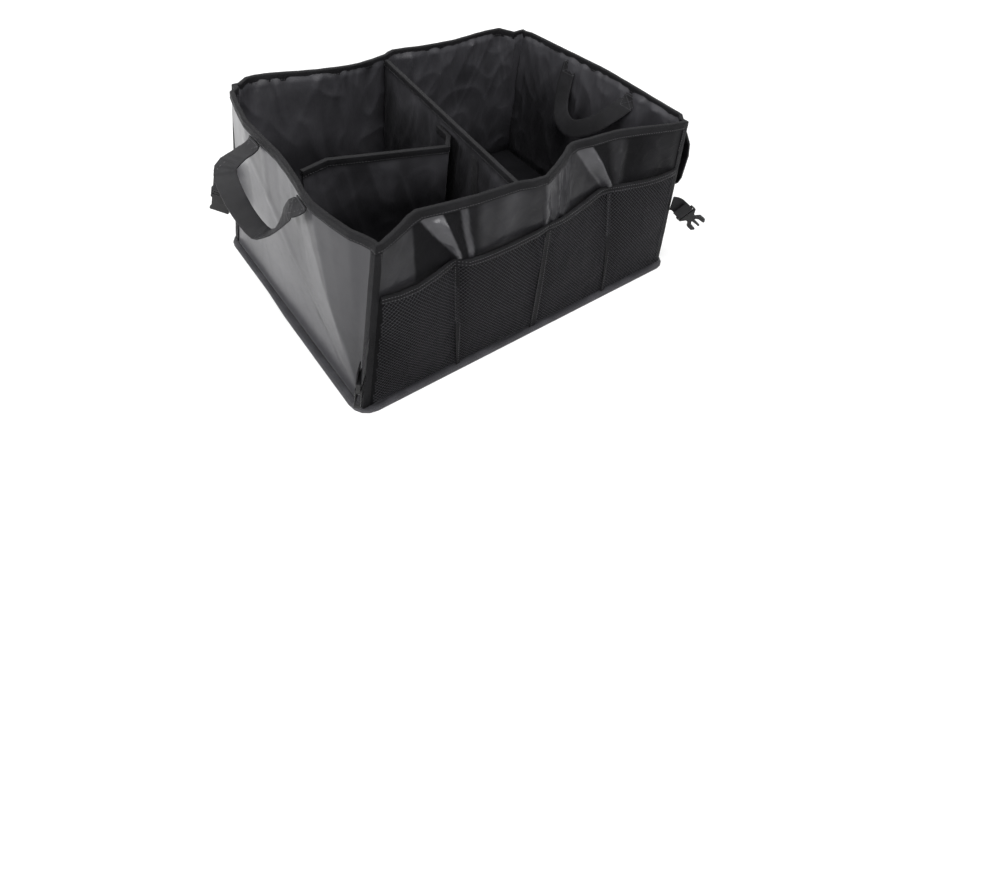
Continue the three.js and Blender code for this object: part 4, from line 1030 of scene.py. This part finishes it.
def hem_rows():
    rows = []
    for end in ("left", "right"):
        low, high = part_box("mesh_hem_" + end)
        for z in (low.z + 1.8 * MM, high.z - 2.6 * MM):
            path = ((low.x, AHEAD, z), (high.x, AHEAD, z))
            rows.append(traced("hem_tape_" + end, path, ALONG_Y))
        low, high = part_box("mesh_seam_" + end)
        for share in (0.25, 0.75):
            x = low.x + (high.x - low.x) * share
            path = ((x, AHEAD, low.z), (x, AHEAD, high.z))
            rows.append(traced("seam_tape_" + end, path, ALONG_Y))
    low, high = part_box("front_centre_tape")
    for share in (0.22, 0.78):
        x = low.x + (high.x - low.x) * share
        path = ((x, AHEAD, low.z), (x, AHEAD, high.z))
        rows.append(traced("centre_tape", path, ALONG_Y))
    return rows


stitches("front_stitches", hem_rows())


def corner_rows():
    """A row near the inner edge of a corner tape, on each of the walls that it joins."""
    rows, inset = [], 2.2 * MM
    for corner, (x_out, y_out) in CORNERS.items():
        low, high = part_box("corner_binding_" + corner)
        inner_x = high.x - inset if x_out < 0 else low.x + inset
        inner_y = high.y - inset if y_out < 0 else low.y + inset
        for x, y, toward in (
            (inner_x, y_out * CLEAR_Y, ALONG_Y * -y_out),
            (x_out * CLEAR_X, inner_y, ALONG_X * -x_out),
        ):
            rows.append(traced("corner_tape_" + corner, ((x, y, low.z), (x, y, high.z)), toward))
    return rows


stitches("corner_stitches", corner_rows())


def divider_rows():
    """A row near the foot of each divider's tape, on both of its sides."""
    rows, aside = [], 0.2
    for name, axis, toward in (("centre", 1, ALONG_X), ("cross", 0, ALONG_Y)):
        low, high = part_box(name + "_divider_binding")
        z = low.z + 1.8 * MM
        for sign in (1, -1):
            a, b = low.copy(), high.copy()
            a.z = b.z = z
            other = 1 - axis
            a[other] = b[other] = -sign * aside + (low[other] + high[other]) / 2
            rows.append(traced(name + "_divider_tape", (a, b), toward * sign))
    return rows


stitches("divider_stitches", divider_rows())


def flap_rows(end):
    """Round the bound edge of a flap: down one side, across its foot and up the other."""
    low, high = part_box("pocket_flap_binding_" + end)
    inset, bend, x = 5.2 * MM, 29 * MM, 0.4
    left, right, foot = low.y + inset, high.y - inset, low.z + inset
    path = [(x, left, high.z)]
    for corner_y, start in ((left + bend, 180), (right - bend, 270)):
        for turned in range(0, 91, 15):
            a = math.radians(start + turned)
            path.append((x, corner_y + bend * math.cos(a), foot + bend + bend * math.sin(a)))
    path.append((x, right, high.z))
    return [traced("flap_tape_" + end, path, -ALONG_X)]


for end in ("front", "back"):
    stitches("flap_stitches_" + end, flap_rows(end), "flap_" + end)


def handle_rows():
    """A crossed box where each leg of a handle is sewn down."""
    rows = []
    for end, x in (("left", -CLEAR_X), ("right", 0.0)):
        name = end + "_handle"
        low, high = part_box("handle_" + end)
        points = [v.co for v in NODES["handle_" + end].data.vertices]
        middle = (low.y + high.y) / 2
        for sign in (1, -1):
            leg = [p for p in points if (p.y - middle) * sign > 0 and p.z > high.z - 6 * MM]
            y0, y1 = min(p.y for p in leg) + 2.5 * MM, max(p.y for p in leg) - 2.5 * MM
            z0, z1 = high.z - 20 * MM, high.z - 2.5 * MM
            box = ((x, y0, z0), (x, y1, z0), (x, y1, z1), (x, y0, z1), (x, y0, z0), (x, y1, z1))
            rows.append(traced(name, box, ALONG_X, pitch=2.9 * MM))
            rows.append(traced(name, ((x, y1, z0), (x, y0, z1)), ALONG_X, pitch=2.9 * MM))
    return rows


stitches("handle_stitches", handle_rows())


# Floor, lamps and surroundings.

def floor_finish():
    """White as it is seen and mirrored, and as bright as the lamps make it for all else."""
    f = Finish("white_floor")
    fine = f.cloudy(3.0, 2.0)
    colour = f.blend((0.54, 0.54, 0.54, 1), (0.56, 0.56, 0.56, 1), fine)
    length = {"operation": "LENGTH"}
    away = f.node("ShaderNodeVectorMath", length, {0: f.place()}, output="Value")
    glow = f.blend((0.53, 0.53, 0.53, 1), (1, 1, 1, 1), away.span(0.6, 1.3))
    values = {"Base Color": colour, "Roughness": 0.9, "Specular IOR Level": 0.1}
    plain = f.node("ShaderNodeBsdfPrincipled", {}, values)
    values = {**values, "Emission Strength": 1.0, "Emission Color": glow}
    lit = f.node("ShaderNodeBsdfPrincipled", {}, values)
    f.node_output(f.node("ShaderNodeMixShader", {}, {0: f.seen(), 1: plain, 2: lit}))
    return f.result


def add_floor(half_width=6):
    mesh = bmesh.new()
    bmesh.ops.create_grid(mesh, x_segments=2, y_segments=2, size=half_width)
    data = bpy.data.meshes.new("floor")
    mesh.to_mesh(data)
    mesh.free()
    data.materials.append(floor_finish())
    floor = bpy.data.objects.new("floor", data)
    SCENE.collection.objects.link(floor)


def add_lamp(name, spot, aim, size, power):
    """A white panel of size metres that stands at spot and is turned to aim, power in watts."""
    lamp = bpy.data.lights.new(name, "AREA")
    lamp.shape = "RECTANGLE"
    lamp.size, lamp.size_y = size
    lamp.energy = power
    holder = bpy.data.objects.new(name, lamp)
    spot, aim = Vector(spot), Vector(aim)
    turn = (spot - aim).to_track_quat("Z", "Y").to_matrix().to_4x4()
    holder.matrix_world = Matrix.Translation(spot) @ turn
    SCENE.collection.objects.link(holder)


def add_surroundings(dim=0.06, white=1.0):
    """White where it is seen, mirrored or seen through, and a dim light for all else."""
    f = Finish("surroundings", bpy.data.worlds)
    values = {"Color": (1, 1, 1, 1), "Strength": f.seen() * (white - dim) + dim}
    f.node_output(f.node("ShaderNodeBackground", {}, values), "ShaderNodeOutputWorld")
    SCENE.world = f.result


add_floor()
add_surroundings()
add_lamp("window", (-1.4, 0.45, 0.6), (-0.3, 0.1, 0.0), (0.8, 0.6), 10)
add_lamp("side", (-1.6, -0.46, 0.5), (0, -0.2, 0.15), (0.3, 0.5), 10)
add_lamp("sky", (-0.1, -0.2, 2.0), (0, 0.05, 0.1), (1.3, 1.1), 36)
add_lamp("back_sky", (0.2, 1.3, 1.5), (0, 0, 0.15), (1.2, 0.9), 12)
add_lamp("front_box", (-0.2, -2.0, 1.35), (0, 0.1, 0.15), (0.7, 0.5), 22)

SCENE.view_settings.view_transform = "Standard"
